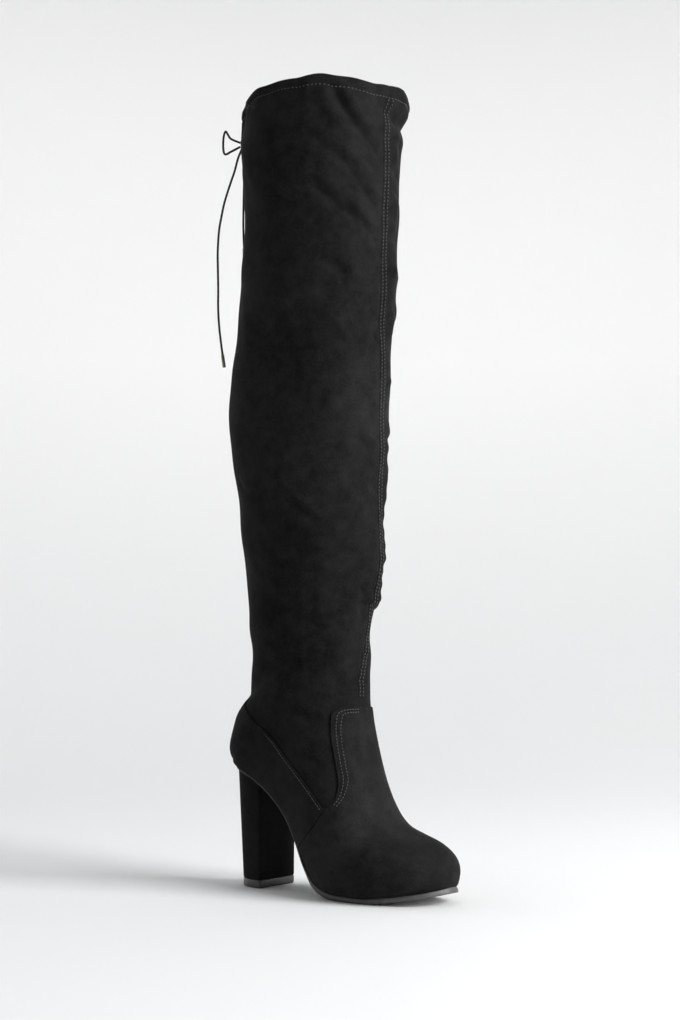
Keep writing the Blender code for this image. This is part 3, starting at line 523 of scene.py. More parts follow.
def distance_to(points, line):
    """For every point, how far the nearest of a line's closely spaced points is."""
    flat = points.reshape(-1, 3)
    best = np.full(len(flat), np.inf)
    near = np.flatnonzero(((flat > line.min(0) - 0.03) & (flat < line.max(0) + 0.03)).all(axis=1))
    for block in np.array_split(near, max(1, len(near) * len(line) // 4000000)):
        gaps = flat[block, None, :] - line[None, :, :]
        best[block] = np.sqrt((gaps**2).sum(axis=2).min(axis=1))
    return best.reshape(points.shape[:-1])


print("pieces are made by", mesh_from.__name__, "and", dress.__name__)

# %% [markdown]
# ## Where the zip lies
# The zip is a straight line seen from the side, on the inner side of the foot. The skin
# needs a shallow bed for it, so one function tells for any point how far it is across and
# along that line, and another how deep the bed is there.

# %% The zip's line
ZIP_TOP = (0.383, 2.168)
ZIP_FOOT = (0.327, 0.705)


def side_place(share, level):
    """A point of the side view, from a share of the foot's length and a level."""
    return np.array([share * FOOT_LENGTH - ORIGIN_ALONG, float(height_of(level))])


zip_top = side_place(*ZIP_TOP)
zip_foot = side_place(*ZIP_FOOT)
zip_length = float(np.linalg.norm(zip_top - zip_foot))
zip_run = (zip_top - zip_foot) / zip_length
zip_ahead = np.array([zip_run[1], -zip_run[0]])


def zip_reading(points):
    """Distance across the zip's line, towards the toe, and distance up it from its foot."""
    from_foot = points[..., [0, 2]] - zip_foot
    return from_foot @ zip_ahead, from_foot @ zip_run


def zip_point(across, along):
    """The side-view point at a distance across the zip's line and a distance up it."""
    return zip_foot + along[..., None] * zip_run + across[..., None] * zip_ahead


def zip_bed(points):
    """1 where the skin makes room for the zip, fading to 0 round it."""
    across, along = zip_reading(points)
    share = 1 - smooth(0.0050, 0.0085, np.abs(across))
    ends = smooth(-0.006, 0.001, along) * (1 - smooth(zip_length - 0.001, zip_length + 0.006, along))
    return share * ends * (points[..., 1] > 0)


print("zip is", round(zip_length * 1000), "mm long")

# %% [markdown]
# ## The shaft
# One wall of stretch suede runs from under the overlays up to the rim, rolls over it and
# goes down inside as a hem. Its outside is cut finely enough for folds, and its inside four
# times more coarsely, because nobody looks at it from near. Polygons with seven corners
# bridge the two where they meet, so the wall is one closed skin.

# %% Details of the shaft's outside
WALL = 0.0014
HEM_STEP = 0.0012
ROLL_RADIUS = (WALL + HEM_STEP) / 2
HEM_BAND = 0.024
CHANNEL = 0.0088
FINE_PER_COARSE = 4
COARSE_COLUMNS = 50


def rim_fall(place, around):
    """How far the rim sinks at its outer back, where the cord pulls it, and rises in front: bells round the leg."""
    back = 0.0064 * bell(around + 0.74, 0.17) + 0.0030 * bell(around - 0.80, 0.16)
    side = 0.0026 * bell(around + 0.44, 0.17)
    front = -0.0052 * bell(around - 0.10, 0.19)
    return (back + side + front) * smooth(31.2, 33.0, place) ** 1.4


def rim_waves(place, around):
    """Small ups and downs of the rim between the gathers."""
    wave = np.sin(around * 19 + 0.8) + 0.6 * np.sin(around * 43 + 2.0)
    return 0.0008 * wave * smooth(31.8, 33.0, place)


def hem_depth(place):
    """How far below the rim a band lies, in metres, on the hem."""
    return (LAST - place) * HEM_BAND


print("hem of", HEM_BAND * 1000, "mm with a channel of", CHANNEL * 1000, "mm")

# %% [markdown]
# Folds are drawn as lines on the skin. A row below gives a fold's height in millimetres, up
# or down, its half width, and then its stations, each a place and an around. Across a line
# the height dies out like a bell, and along it towards both ends. Most of them slant from
# the hem's outer side down to the front seam, because the cord pulls the rim together at
# the back and the cloth is pushed forward. Those of the inner side bow over the knee.
# Wide ones, the swells, round out the heel, the instep and the back of the knee.

# %% Folds
FOLDS = """
-2.6 3.6 32.72 -0.262 32.52 -0.243 32.07 -0.207 31.59 -0.150 31.15 -0.073 30.83 0.003
 1.9 5.0 32.60 -0.205 32.44 -0.190 31.95 -0.140 31.60 -0.080 31.27 -0.020
 1.3 5.5 32.50 -0.310 32.05 -0.270 31.55 -0.220 31.20 -0.150
-2.1 3.8 31.37 -0.360 31.03 -0.290 30.85 -0.220 30.66 -0.170 30.48 -0.127 30.26 -0.073 30.12 -0.017
 1.8 5.0 31.50 -0.330 31.22 -0.260 31.00 -0.185 30.80 -0.125 30.58 -0.070 30.34 -0.013
-2.2 4.2 30.42 -0.330 30.34 -0.300 30.06 -0.210 29.83 -0.103 29.66 -0.050 29.48 -0.007
 1.9 5.6 30.62 -0.320 30.42 -0.250 30.20 -0.160 29.97 -0.087 29.75 -0.020
 1.3 4.6 29.37 -0.277 29.25 -0.210 29.07 -0.147 28.90 -0.110
-1.2 3.8 29.22 -0.300 29.08 -0.225 28.90 -0.160
 1.1 4.0 28.36 -0.260 28.31 -0.240 28.13 -0.183 28.00 -0.150
 1.2 3.6 28.24 -0.207 28.10 -0.173 27.96 -0.157 27.80 -0.140
 1.2 3.6 28.12 -0.080 28.05 -0.057 27.96 -0.027 27.85 0.000
-1.1 3.4 27.98 -0.100 27.88 -0.060 27.74 -0.030
 1.3 4.0 26.64 -0.090 26.54 -0.060 26.45 -0.020 26.34 0.020
-1.2 3.6 26.44 -0.090 26.33 -0.050 26.22 -0.010
 1.3 4.0 26.20 -0.047 26.06 0.000 25.92 0.053
 1.4 4.2 25.80 -0.450 25.67 -0.410 25.53 -0.350 25.35 -0.293 25.24 -0.250
-1.4 4.0 25.66 -0.460 25.56 -0.423 25.40 -0.367 25.24 -0.307 25.14 -0.270
 1.2 4.6 26.92 -0.640 26.80 -0.583 26.67 -0.517 26.51 -0.460 26.40 -0.400
-1.3 4.0 25.98 -0.800 25.90 -0.717 25.79 -0.683 25.70 -0.640 25.60 -0.560
 1.0 7.0 31.60 -0.760 31.20 -0.700 30.70 -0.640 30.20 -0.600
 0.9 7.0 28.90 -0.720 28.40 -0.640 27.90 -0.600
-1.0 6.0 24.60 -0.620 24.30 -0.500 24.10 -0.360
 0.9 6.0 23.90 -0.560 23.70 -0.420 23.60 -0.280
-1.6 4.0 16.30 -0.620 14.80 -0.600 13.60 -0.520 12.75 -0.400
 1.5 4.6 18.60 -0.660 15.60 -0.600 13.95 -0.500 13.05 -0.380
-4.6 4.6 32.34 -0.060 32.20 0.020 32.17 0.110 32.15 0.210 32.18 0.330
 1.6 5.0 31.78 -0.040 31.72 0.060 31.70 0.150 31.74 0.240
 1.6 6.0 32.70 -0.060 32.66 0.040 32.64 0.140 32.68 0.260
-1.6 4.5 32.70 0.520 32.20 0.470 31.80 0.420
-1.5 4.5 32.74 0.800 32.30 0.760 31.90 0.700
 1.9 5.5 30.55 0.780 30.96 0.633 31.43 0.533 31.73 0.403
-1.6 4.5 30.28 0.800 30.70 0.660 31.16 0.560 31.48 0.430
 1.7 5.0 30.21 0.747 30.48 0.640 30.77 0.540 30.95 0.450
 2.2 6.0 28.62 0.780 28.92 0.740 29.16 0.660 29.29 0.580 29.39 0.500 29.50 0.380 29.27 0.283 29.14 0.190 28.99 0.090
-2.0 5.0 28.39 0.740 28.72 0.663 28.96 0.587 29.12 0.487 29.20 0.380 29.06 0.280
 1.6 5.0 28.83 0.257 28.57 0.190 28.29 0.117 28.05 0.053
-1.4 4.5 28.62 0.280 28.36 0.210 28.10 0.140
 2.0 5.0 26.73 0.637 26.64 0.490 26.64 0.353 26.65 0.227 26.75 0.097
-1.8 4.5 26.51 0.627 26.43 0.483 26.43 0.343 26.49 0.207 26.58 0.080
 1.4 4.5 26.29 0.600 26.20 0.447 26.16 0.303 26.01 0.173 25.70 0.060
 1.7 5.5 24.83 0.720 24.93 0.567 24.95 0.447 24.91 0.353 24.72 0.237 24.39 0.070
-1.5 5.0 24.59 0.710 24.70 0.557 24.72 0.440 24.68 0.343 24.50 0.240
-1.2 4.0 21.68 0.670 20.51 0.537 19.63 0.447
 1.2 4.0 11.70 0.520 10.75 0.430 9.80 0.333
-1.1 3.6 11.05 0.500 10.01 0.400 9.00 0.307
"""
SWELLS = """
 4.4 12.0 17.6 -0.50 17.6 -0.76 17.6 -1.00 17.6 -1.24 17.6 -1.50
-5.8 10.5 21.00 -0.40 21.00 -0.70 21.00 -1.00 21.00 -1.28 21.00 -1.58
 1.8 13.0 23.6 -0.55 23.4 -0.76 23.4 -1.00 23.4 -1.24 23.6 -1.45
 2.6 15.0 31.00 -0.76 30.20 -0.74 29.70 -0.71 29.00 -0.70
 2.4 14.0 30.40 0.16 29.80 0.17 29.10 0.17 28.40 0.16
-3.2 10.0 33.00 -0.70 32.60 -0.72 32.20 -0.74 31.70 -0.74
 3.2 13.0 12.40 0.10 10.90 0.15 9.60 0.17 8.00 0.15 6.00 0.12 4.00 0.10 2.00 0.08 0.80 0.06
"""
FOLD_DEPTH = 1.0
FOLD_STATIONS = 90


def read_folds(text, depth):
    """Each fold as its points on the skin, its height at each and its half width, in metres."""
    found = []
    for row in text.strip().splitlines():
        values = np.array(row.split(), dtype=float)
        height, half_width = values[:2] / 1000
        stations = values[2:].reshape(-1, 2)
        share = np.linspace(0, 1, FOLD_STATIONS)
        place, around = between_rows(stations, share * (len(stations) - 1)).T
        heights = height * depth * np.sin(np.pi * share) ** 0.7
        found.append((skin(place, kept_round(place, around)), heights, half_width))
    return found


folds = read_folds(FOLDS, FOLD_DEPTH) + read_folds(SWELLS, 1.0)


def fold_relief(points):
    """The sum of all folds: height at the nearest station times a bell of the distance to it."""
    flat = points.reshape(-1, 3)
    total = np.zeros(len(flat))
    for line, heights, half_width in folds:
        reach = 3 * half_width
        near = np.flatnonzero(((flat > line.min(0) - reach) & (flat < line.max(0) + reach)).all(axis=1))
        for block in np.array_split(near, max(1, len(near) // 20000)):
            gaps = np.linalg.norm(flat[block, None, :] - line[None, :, :], axis=2)
            nearest = gaps.argmin(axis=1)
            gap = gaps[np.arange(len(block)), nearest]
            total[block] += heights[nearest] * bell(gap, half_width)
    return total.reshape(points.shape[:-1])


print(len(folds), "folds")

# %% [markdown]
# Down the front the elastic cloth is held by a stiffer seam, and puffs up beside it. The
# puffs are what makes the front edge wavy, widest under the hem, and they end in a small
# step above the ankle. Weak broad waves all over keep the cloth from looking turned on a
# lathe.

# %% Puffs, waves and the sum of it all
FRONT_PATH = np.array([
    [12.5, 0.02], [17.0, 0.04], [22.0, 0.09], [24.5, 0.100], [26.3, 0.062], [28.2, 0.030],
    [29.8, 0.030], [31.5, 0.003], [33.0, 0.000],
])
STEP_PLACE = 22.96


def seam_at(place):
    """The front seam's around value at a place."""
    return np.interp(place, FRONT_PATH[:, 0], FRONT_PATH[:, 1])


def front_puffs(place, around, points):
    """Puffs beside the front seam: a bell across, on a sum of two sines up the leg."""
    metres_per_around = 0.19
    across = (around - seam_at(place)) * metres_per_around
    height = points[..., 2]
    slow = np.sin(height * 2 * math.pi / 0.047 + 0.9) + 0.35 * np.sin(height * 2 * math.pi / 0.0185 + 2.0)
    quick = np.sin(height * 2 * math.pi / 0.0125 + 1.7 * np.sin(height * 47))
    high_up = smooth(0.34, 0.56, height)
    leg = smooth(0.236, 0.243, height)
    inner_bell = bell(across - 0.0115, 0.0070)
    outer_bell = bell(across + 0.0105, 0.0060)
    knee = 0.0016 * smooth(0.46, 0.51, height) * (1 - smooth(0.56, 0.60, height))
    inner = (0.0012 + knee + (0.0004 + 0.0013 * high_up) * slow + 0.00035 * quick) * inner_bell
    outer = (0.0002 * slow + 0.00028 * quick) * outer_bell
    return (inner + outer) * leg


def ankle_step(place, around):
    """The cloth of the leg stands out at the front, and steps in at the end of its seam."""
    front = bell(around - 0.11, 0.15)
    above = smooth(STEP_PLACE - 0.06, STEP_PLACE + 0.06, place)
    fade_up = 1 - smooth(STEP_PLACE + 0.3, 25.6, place)
    below = (1 - above) * smooth(18.0, 21.5, place)
    return (0.0026 * above * fade_up - 0.0014 * below) * front


def broad_waves(points):
    """Three slanting waves, each a sine of a weighted sum of the coordinates."""
    x, y, z = np.moveaxis(points, -1, 0)
    waves = (
        np.sin(38 * x + 46 * y + 55 * z + 0.6) + np.sin(-61 * x + 33 * y + 88 * z + 2.1)
        + 0.7 * np.sin(71 * x - 84 * y + 128 * z + 4.0)
    )
    return 0.00042 * waves * smooth(0.175, 0.215, z)


def shaft_relief(place, around, points):
    """How far the shaft stands out of the plain skin: hem, channel, gathers, folds, puffs, less the zip's bed."""
    down = hem_depth(place)
    hem = HEM_STEP * (1 - smooth(CHANNEL, HEM_BAND + 0.004, down))
    channel = 0.0007 * np.sqrt(np.clip(1 - (down / CHANNEL * 2 - 1) ** 2, 0, 1)) * (down < CHANNEL)
    groove = -0.0008 * bell(down - CHANNEL, 0.0013)
    gathers = np.sin(around * 61 + 1.3 * np.sin(around * 17)) * np.sin(around * 23 + 0.7)
    ripple = 0.00065 * gathers * bell(down - CHANNEL * 1.3, 0.009)
    bed = zip_bed(points)
    soft = fold_relief(points) + front_puffs(place, around, points) + ankle_step(place, around) + broad_waves(points)
    fall = rim_fall(place, around)
    pulled_in = np.where(fall > 0, -0.60, -0.85) * fall
    return hem + channel + groove + ripple + pulled_in + soft * (1 - bed) - 0.0017 * bed


print("relief at the rim's front:", round(float(shaft_relief(33.0, 0.0, skin(33.0, 0.0))) * 1000, 2), "mm")

# %% [markdown]
# The wall's inner side keeps its own even shape behind ridges, but behind a trough it steps
# back by the trough's depth, or a deep fold would push the outer side through it.

# %% The shaft as one closed wall
def sunk(points, place, around):
    """Points lowered by what the rim falls, and lifted by its waves, at their place."""
    place, around = np.broadcast_arrays(place, around)
    drop = rim_waves(place, around) - rim_fall(place, around)
    return points + drop[..., None] * np.array([0.0, 0.0, 1.0])


def on_shaft(place, around, lift):
    """Points that stand out of the finished shaft by a lift, folds, hem and fall of the rim included."""
    relief = shaft_relief(place, around, skin(place, around))
    return sunk(raised(place, around, relief + lift), place, around)


def trough_depth(place, around):
    """The relief where it lies below the plain skin, and nought elsewhere."""
    return np.minimum(shaft_relief(place, around, skin(place, around)), 0)


rim_place = LAST - ROLL_RADIUS / HEM_BAND
coarse_places = np.concatenate([even_places(0, CLOSED_FROM, 30)[:-1], even_places(CLOSED_FROM, rim_place, 75)])
fine_count = (len(coarse_places) - 1) * FINE_PER_COARSE + 1
fine_places = np.interp(np.arange(fine_count) / FINE_PER_COARSE, np.arange(len(coarse_places)), coarse_places)
fine_around = np.linspace(-1, 1, COARSE_COLUMNS * FINE_PER_COARSE + 1)
place_grid, around_grid = np.meshgrid(fine_places, fine_around, indexing="ij")
plain = skin(place_grid, around_grid)
relief_grid = shaft_relief(place_grid, around_grid, plain)
outside = raised(place_grid, around_grid, relief_grid)

rim_normal = skin_normal(rim_place, fine_around)
rim_up = unit(skin(LAST, fine_around) - skin(LAST - 0.1, fine_around))
rim_inside = np.minimum(relief_grid[-1], 0) - WALL
rim_middle = skin(rim_place, fine_around) + rim_normal * ((relief_grid[-1] + rim_inside) / 2)[:, None]
roll_radius = ((relief_grid[-1] - rim_inside) / 2)[:, None]
roll_angles = np.radians(np.arange(20, 180, 20))[:, None, None]
roll = rim_middle + rim_normal * roll_radius * np.cos(roll_angles) + rim_up * roll_radius * np.sin(roll_angles)

inner_hem_places = np.linspace(rim_place, HEM_FROM - 0.1, 15)[:, None]
inner_hem_down = hem_depth(inner_hem_places)
inner_hem_offset = -WALL - 0.0006 * smooth(0.001, 0.004, inner_hem_down) * (1 - smooth(0.022, 0.0235, inner_hem_down))
inner_hem_offset = inner_hem_offset + trough_depth(inner_hem_places, fine_around[None, :])
inner_hem = raised(inner_hem_places, fine_around[None, :], inner_hem_offset)

inner_places = coarse_places[coarse_places < HEM_FROM - 0.2][::-1]
inner_around = fine_around[::FINE_PER_COARSE]
lining_offset = trough_depth(inner_places[:, None], inner_around[None, :]) - WALL
lining_grid = raised(inner_places[:, None], inner_around[None, :], lining_offset)
outside = sunk(outside, place_grid, around_grid)
roll = sunk(roll, np.array(rim_place), fine_around[None, :])
inner_hem = sunk(inner_hem, inner_hem_places, fine_around[None, :])
lining_grid = sunk(lining_grid, inner_places[:, None], inner_around[None, :])
fine_grid = np.concatenate([outside, roll, inner_hem])
fine_cols = len(fine_around)
coarse_cols = len(inner_around)
inner_start = fine_grid.shape[0] * fine_cols
last_fine = (fine_grid.shape[0] - 1) * fine_cols
steps = np.arange(FINE_PER_COARSE + 1)
k = np.arange(COARSE_COLUMNS)[:, None]
bridge = np.hstack([last_fine + k * FINE_PER_COARSE + steps, inner_start + k + 1, inner_start + k])

open_count = int(np.searchsorted(coarse_places, CLOSED_FROM - 1e-6))
m = np.arange(open_count)[:, None]
outer_rows = (m * FINE_PER_COARSE + steps) * fine_cols
inner_row = inner_start + (len(inner_places) - 1 - m) * coarse_cols
low_outer = np.hstack([outer_rows, inner_row - coarse_cols, inner_row])
low_inner = np.hstack([outer_rows + fine_cols - 1, inner_row - 1, inner_row + coarse_cols - 1])[:, ::-1]

shaft = mesh_from(
    "shaft", np.concatenate([fine_grid.reshape(-1, 3), lining_grid.reshape(-1, 3)]),
    [
        grid_faces(fine_grid.shape[0], fine_cols), grid_faces(len(inner_places), coarse_cols, inner_start),
        bridge, low_outer, low_inner,
    ],
)
dress(shaft, suede, "suede", "upper")

# %% [markdown]
# ## Counter and vamp
# Two overlays are sewn on the foot: the counter round the heel, and the vamp over the toes
# with a tab up the front of the ankle. Each is a shell a little outside the skin whose front
# rounds down towards its seam, and a prism with the seam's side view as its outline then
# cuts it exactly there. A drawn outline keeps the curve of a cut edge better than the steps
# of any grid would.

# %% Overlays
OVERLAY_IN = 0.0003
OVERLAY_OUT = 0.0015
EDGE_ROUND = 0.0012
EDGE_THICKNESS = 0.0003
COUNTER_TOP = [
    (-0.100, 1.632), (0.063, 1.628), (0.086, 1.600), (0.275, 1.295), (0.369, 1.084), (0.548, 0.672),
]
FRONT_JOINT = [
    (0.560, 0.665), (0.531, 0.575), (0.503, 0.499), (0.432, 0.368), (0.386, 0.330), (0.340, 0.250),
]
VAMP_EDGE = [
    (0.583, 0.703), (0.596, 0.771), (0.596, 0.880), (0.582, 1.000), (0.565, 1.168),
    (0.555, 1.316), (0.554, 1.432), (0.560, 1.474), (0.574, 1.498), (0.592, 1.504), (0.640, 1.505),
]


def side_line(outline, count=240):
    """Closely spaced side-view points on a smooth curve through an outline of shares and levels."""
    corners = np.array([side_place(*corner) for corner in outline])
    return between_rows(corners, np.linspace(0, len(corners) - 1, count))


def skin_tree():
    """A tree of the plain skin, to find what lies under a side-view point."""
    places = even_places(0, LAST, 260)
    grid = skin(places[:, None], np.linspace(-1, 1, 181)[None, :])
    return BVHTree.FromPolygons(grid.reshape(-1, 3).tolist(), grid_faces(*grid.shape[:2]).tolist())


tree = skin_tree()


def on_skin(line, side, keep_all=False):
    """Side-view points laid on the skin's outer (-1) or inner (1) side, with the normals there."""
    found = []
    for x, z in line:
        place, normal, index, gap = tree.ray_cast(Vector((x, 0.3 * side, z)), Vector((0, -side, 0)))
        if place is None and keep_all:
            place, normal, index, gap = tree.find_nearest(Vector((x, 0.04 * side, z)))
        if place is not None:
            normal = normal if normal.y * side > 0 else -normal
            found.append((tuple(place), tuple(normal)))
    found = np.array(found)
    return found[:, 0], found[:, 1]


def overlay(name, first, last, rows, cols, outline, lines):
    """A shell between two bands, rounded down towards its seams and cut by its outline."""
    places = even_places(first, last, rows)
    place, around = np.meshgrid(places, np.linspace(-1, 1, cols), indexing="ij")
    plain_points = skin(place, around)
    seams = np.concatenate([on_skin(line, side)[0] for line in lines for side in (-1, 1)])
    from_seam = np.clip(distance_to(plain_points, seams) / EDGE_ROUND, 0, 1)
    least = OVERLAY_IN + EDGE_THICKNESS
    lift = least + (OVERLAY_OUT - least) * np.sqrt(1 - (1 - from_seam) ** 2)
    folds_here = fold_relief(plain_points)
    front = raised(place, around, lift + folds_here)
    back = raised(place, around, OVERLAY_IN + folds_here)
    return cut_shell(name, places, front, back, outline)


def sheet(name, front, back, open_rows=None, first_end=True, weld=0):
    """A closed sheet: two matching grids, joined along their edges.

    A ring that closes on itself needs no side faces, so the rows that are open at the sides
    can be listed, and a first row that has shrunk to the toe's line needs no end.
    """
    rows, cols = front.shape[:2]
    count = rows * cols
    open_rows = np.arange(rows - 1) if open_rows is None else open_rows
    i = open_rows[:, None] * cols
    j = np.arange(cols - 1)[:, None]
    end = (rows - 1) * cols + j
    side = np.hstack([i, i + cols, count + i + cols, count + i])
    faces = [grid_faces(rows, cols), grid_faces(rows, cols, count)[:, ::-1], side, side[:, ::-1] + cols - 1]
    if first_end:
        faces.append(np.hstack([j, count + j, count + j + 1, j + 1]))
    faces.append(np.hstack([end, end + 1, count + end + 1, count + end]))
    return mesh_from(name, np.concatenate([front.reshape(-1, 3), back.reshape(-1, 3)]), faces, weld)


def faced_out(thing, least_edge=0.0):
    """Turn all faces of a closed piece outwards, after dropping edges shorter than a least one."""
    mesh = bmesh.new()
    mesh.from_mesh(thing.data)
    if least_edge:
        bmesh.ops.dissolve_degenerate(mesh, edges=mesh.edges, dist=least_edge)
    bmesh.ops.recalc_face_normals(mesh, faces=mesh.faces)
    mesh.to_mesh(thing.data)
    mesh.free()
    return thing


def prism(outline):
    """A cutter with a side-view outline, right across the foot."""
    count = len(outline)
    near = np.column_stack([outline[:, 0], np.full(count, -BALL_WIDTH), outline[:, 1]])
    far = near * [1, -1, 1]
    i = np.arange(count)
    ring = np.column_stack([i, i + count, (i + 1) % count + count, (i + 1) % count])
    return mesh_from("cutter", np.vstack([near, far]), [ring, i[None, :], i[None, ::-1] + count])


def cut_shell(name, places, front, back, outline):
    """Keep what lies within the outline, with an exact Boolean that is applied at once."""
    open_rows = np.flatnonzero(places[:-1] < CLOSED_FROM - 1e-6)
    thing = sheet(name, front, back, open_rows, places[0] > 0.01, WELD)
    cutter = faced_out(prism(outline))
    change = thing.modifiers.new("seam", "BOOLEAN")
    change.operation = "INTERSECT"
    change.solver = "EXACT"
    change.object = cutter
    applied = bpy.data.meshes.new_from_object(thing.evaluated_get(bpy.context.evaluated_depsgraph_get()))
    thing.modifiers.clear()
    thing.data = applied
    bpy.data.objects.remove(cutter)
    applied.shade_smooth()
    applied.set_sharp_from_angle(angle=math.radians(50))
    return thing


counter_line = side_line(COUNTER_TOP)
joint_line = side_line(FRONT_JOINT)
edge_line = side_line(VAMP_EDGE)
JOINT_GAP = np.array([-0.0005, 0.0005])
below = -0.01
counter_outline = np.vstack([
    counter_line, joint_line[2:] + JOINT_GAP, [[joint_line[-1, 0], below], [-0.07, below]],
])
vamp_outline = np.vstack([
    edge_line, [[0.24, edge_line[-1, 1]], [0.24, below], [joint_line[-1, 0], below]], joint_line[::-1],
])
counter = overlay("counter_cover", 7.5, 22.4, 150, 170, counter_outline, [counter_line, joint_line])
dress(counter, counter_suede, "suede", "counter")
vamp = overlay("vamp_cover", 0.0, 12.7, 170, 150, vamp_outline, [edge_line, joint_line])
# The vamp's suede copy has lighter greys: painted light on the top of the foot.
dress(vamp, lit_vamp_suede, "suede", "vamp")

# %% [markdown]
# ## Seams and stitches
# Up the front runs a joined seam: the two halves of the shaft are sewn together, opened out
# and topstitched, and the elastic cloth puckers beside it. At the back a plainer seam does
# the same. Each is a narrow strip whose height across is a drawn profile, carried along a
# line on the skin. A stitch is one small pad of thread, repeated at even steps along a line.

# %% Strips and stitch rows
def beside(place, around, shift):
    """The around value that lies a distance in metres beside another one, along each band."""
    spread = np.linspace(-0.16, 0.16, 161)
    middle = len(spread) // 2
    reach = around[:, None] + spread[None, :]
    wrapped = kept_round(place[:, None], reach)
    points = skin(place[:, None] + 0 * wrapped, wrapped)
    walked = np.cumsum(np.linalg.norm(np.diff(points, axis=1), axis=2), axis=1)
    walked = np.column_stack([np.zeros(len(place)), walked])
    walked = walked - walked[:, [middle]]
    return np.array([np.interp(want, have, line) for want, have, line in zip(shift, walked, reach)])


def strip(name, place, around, half_width, cols, height):
    """A strip on the skin: height(across, along) is how far it stands out, both in metres."""
    middle = raised(place, around, np.zeros(len(place)))
    along = walked_along(middle)
    across = np.linspace(-half_width, half_width, cols)
    places = np.repeat(place[:, None], cols, axis=1)
    arounds = beside(place, around, np.repeat(across[None, :], len(place), axis=0))
    arounds = kept_round(places, arounds)
    front = on_shaft(places, arounds, height(across[None, :], along[:, None]))
    return sheet(name, front, on_shaft(places, arounds, -0.0009))


def tube_faces(rings, sides):
    """The quads of a row of rings whose last side meets the first."""
    i, j = np.meshgrid(np.arange(rings - 1), np.arange(sides), indexing="ij")
    ring, following = i * sides + j, i * sides + (j + 1) % sides
    return np.stack([ring, following, following + sides, ring + sides], axis=-1).reshape(-1, 4)


def even_along(points, spacing):
    """Positions at even steps along a line of points, as fractional indices."""
    walked = walked_along(points)
    count = max(2, int(walked[-1] / spacing))
    return np.interp((np.arange(count) + 0.5) / count * walked[-1], walked, np.arange(len(points)))


def lerp_rows(rows, index):
    start = np.clip(index.astype(int), 0, len(rows) - 2)
    share = (index - start)[:, None]
    return rows[start] * (1 - share) + rows[start + 1] * share


STITCH_RINGS = 5
STITCH_SIDES = 6


def stitches(points, normals, spacing=0.0030, length=0.0021, width=0.00062, proud=0.00030):
    """Pads of thread along a line: an ellipse of rings, thick in the middle and sunk at both ends."""
    index = even_along(points, spacing)
    centre = lerp_rows(points, index)
    out = unit(lerp_rows(normals, index))
    along = unit(lerp_rows(points, np.minimum(index + 0.5, len(points) - 1)) - lerp_rows(points, index - 0.5))
    across = unit(np.cross(out, along))
    along = np.cross(across, out)
    u = np.linspace(-1, 1, STITCH_RINGS)
    turn = np.arange(STITCH_SIDES) / STITCH_SIDES * 2 * math.pi
    thick = np.sqrt(np.clip(1 - u**4, 0.05, 1))[:, None]
    a = (u[:, None] * length / 2 + 0 * turn).ravel()
    b = (thick * np.cos(turn) * width / 2).ravel()
    c = (thick * np.sin(turn) * width / 2 + proud * thick * 0.8 - 0.0002 * u[:, None] ** 2).ravel()
    base = centre[:, None, :]
    shape = along[:, None, :] * a[None, :, None] + across[:, None, :] * b[None, :, None]
    solid = base + shape + out[:, None, :] * c[None, :, None]
    quads = tube_faces(STITCH_RINGS, STITCH_SIDES)
    end = np.arange(STITCH_SIDES)
    caps = np.array([end[::-1], end + (STITCH_RINGS - 1) * STITCH_SIDES])
    start = (np.arange(len(index)) * STITCH_RINGS * STITCH_SIDES)[:, None, None]
    return solid.reshape(-1, 3), (quads[None] + start).reshape(-1, 4), (caps[None] + start).reshape(-1, STITCH_SIDES)


def stitch_piece(name, rows, slot="suede"):
    """One piece from several rows of stitches."""
    points, quads, caps, start = [], [], [], 0
    for row in rows:
        points.append(row[0])
        quads.append(row[1] + start)
        caps.append(row[2] + start)
        start += len(row[0])
    thing = mesh_from(name, np.concatenate(points), [np.concatenate(quads), np.concatenate(caps)], 0)
    return dress(thing, thread, slot)


print("a stitch has", (STITCH_RINGS - 1) * STITCH_SIDES + 2, "faces")

# %% The front and back seams
CLOSE_STITCH = (0.0027, 0.0019)
HEM_STITCH = (0.0034, 0.0023)
BACK_SEAM_HALF = 0.0030
SEAM_TOP = LAST - CHANNEL / HEM_BAND - 0.03
SEAM_HALF = 0.0048
STITCH_SHIFT = 0.0022
seam_places = even_places(12.75, SEAM_TOP, 440)
wander = 0.0006 * np.sin(seam_places * 2.1 + 0.4) + 0.0005 * np.sin(seam_places * 5.3)
seam_around = beside(seam_places, seam_at(seam_places), wander[:, None])[:, 0]


def front_profile(across, along):
    """Two flat allowances beside a groove, with puckers that cross them and die out at the edges."""
    edge = np.sqrt(np.clip(1 - (across / SEAM_HALF) ** 6, 0, 1))
    body = 0.00065 * edge - 0.0005 * (1 - edge)
    groove = -0.00055 * bell(across, 0.0006)
    tack = -0.00035 * bell(np.abs(across) - STITCH_SHIFT, 0.0008)
    wave = np.sin(along * 2 * math.pi / 0.0085 + 1.9 * np.sin(along * 31) + across * 210)
    pucker = 0.00022 * wave * (0.6 + 0.4 * np.sin(along * 47 + 1.0)) * edge
    return body + groove + tack + pucker


front_seam = strip("front_seam", seam_places, seam_around, SEAM_HALF, 25, front_profile)
dress(front_seam, suede, "suede")

back_places = even_places(21.75, SEAM_TOP, 310)


def back_profile(across, along):
    """A narrow ridge with a fine groove down its middle."""
    edge = np.sqrt(np.clip(1 - (across / BACK_SEAM_HALF) ** 4, 0, 1))
    return 0.0004 * edge - 0.0003 * (1 - edge) - 0.0005 * bell(across, 0.0006)


back_seam = strip("back_seam", back_places, np.ones(len(back_places)), BACK_SEAM_HALF, 15, back_profile)
dress(back_seam, suede, "suede")


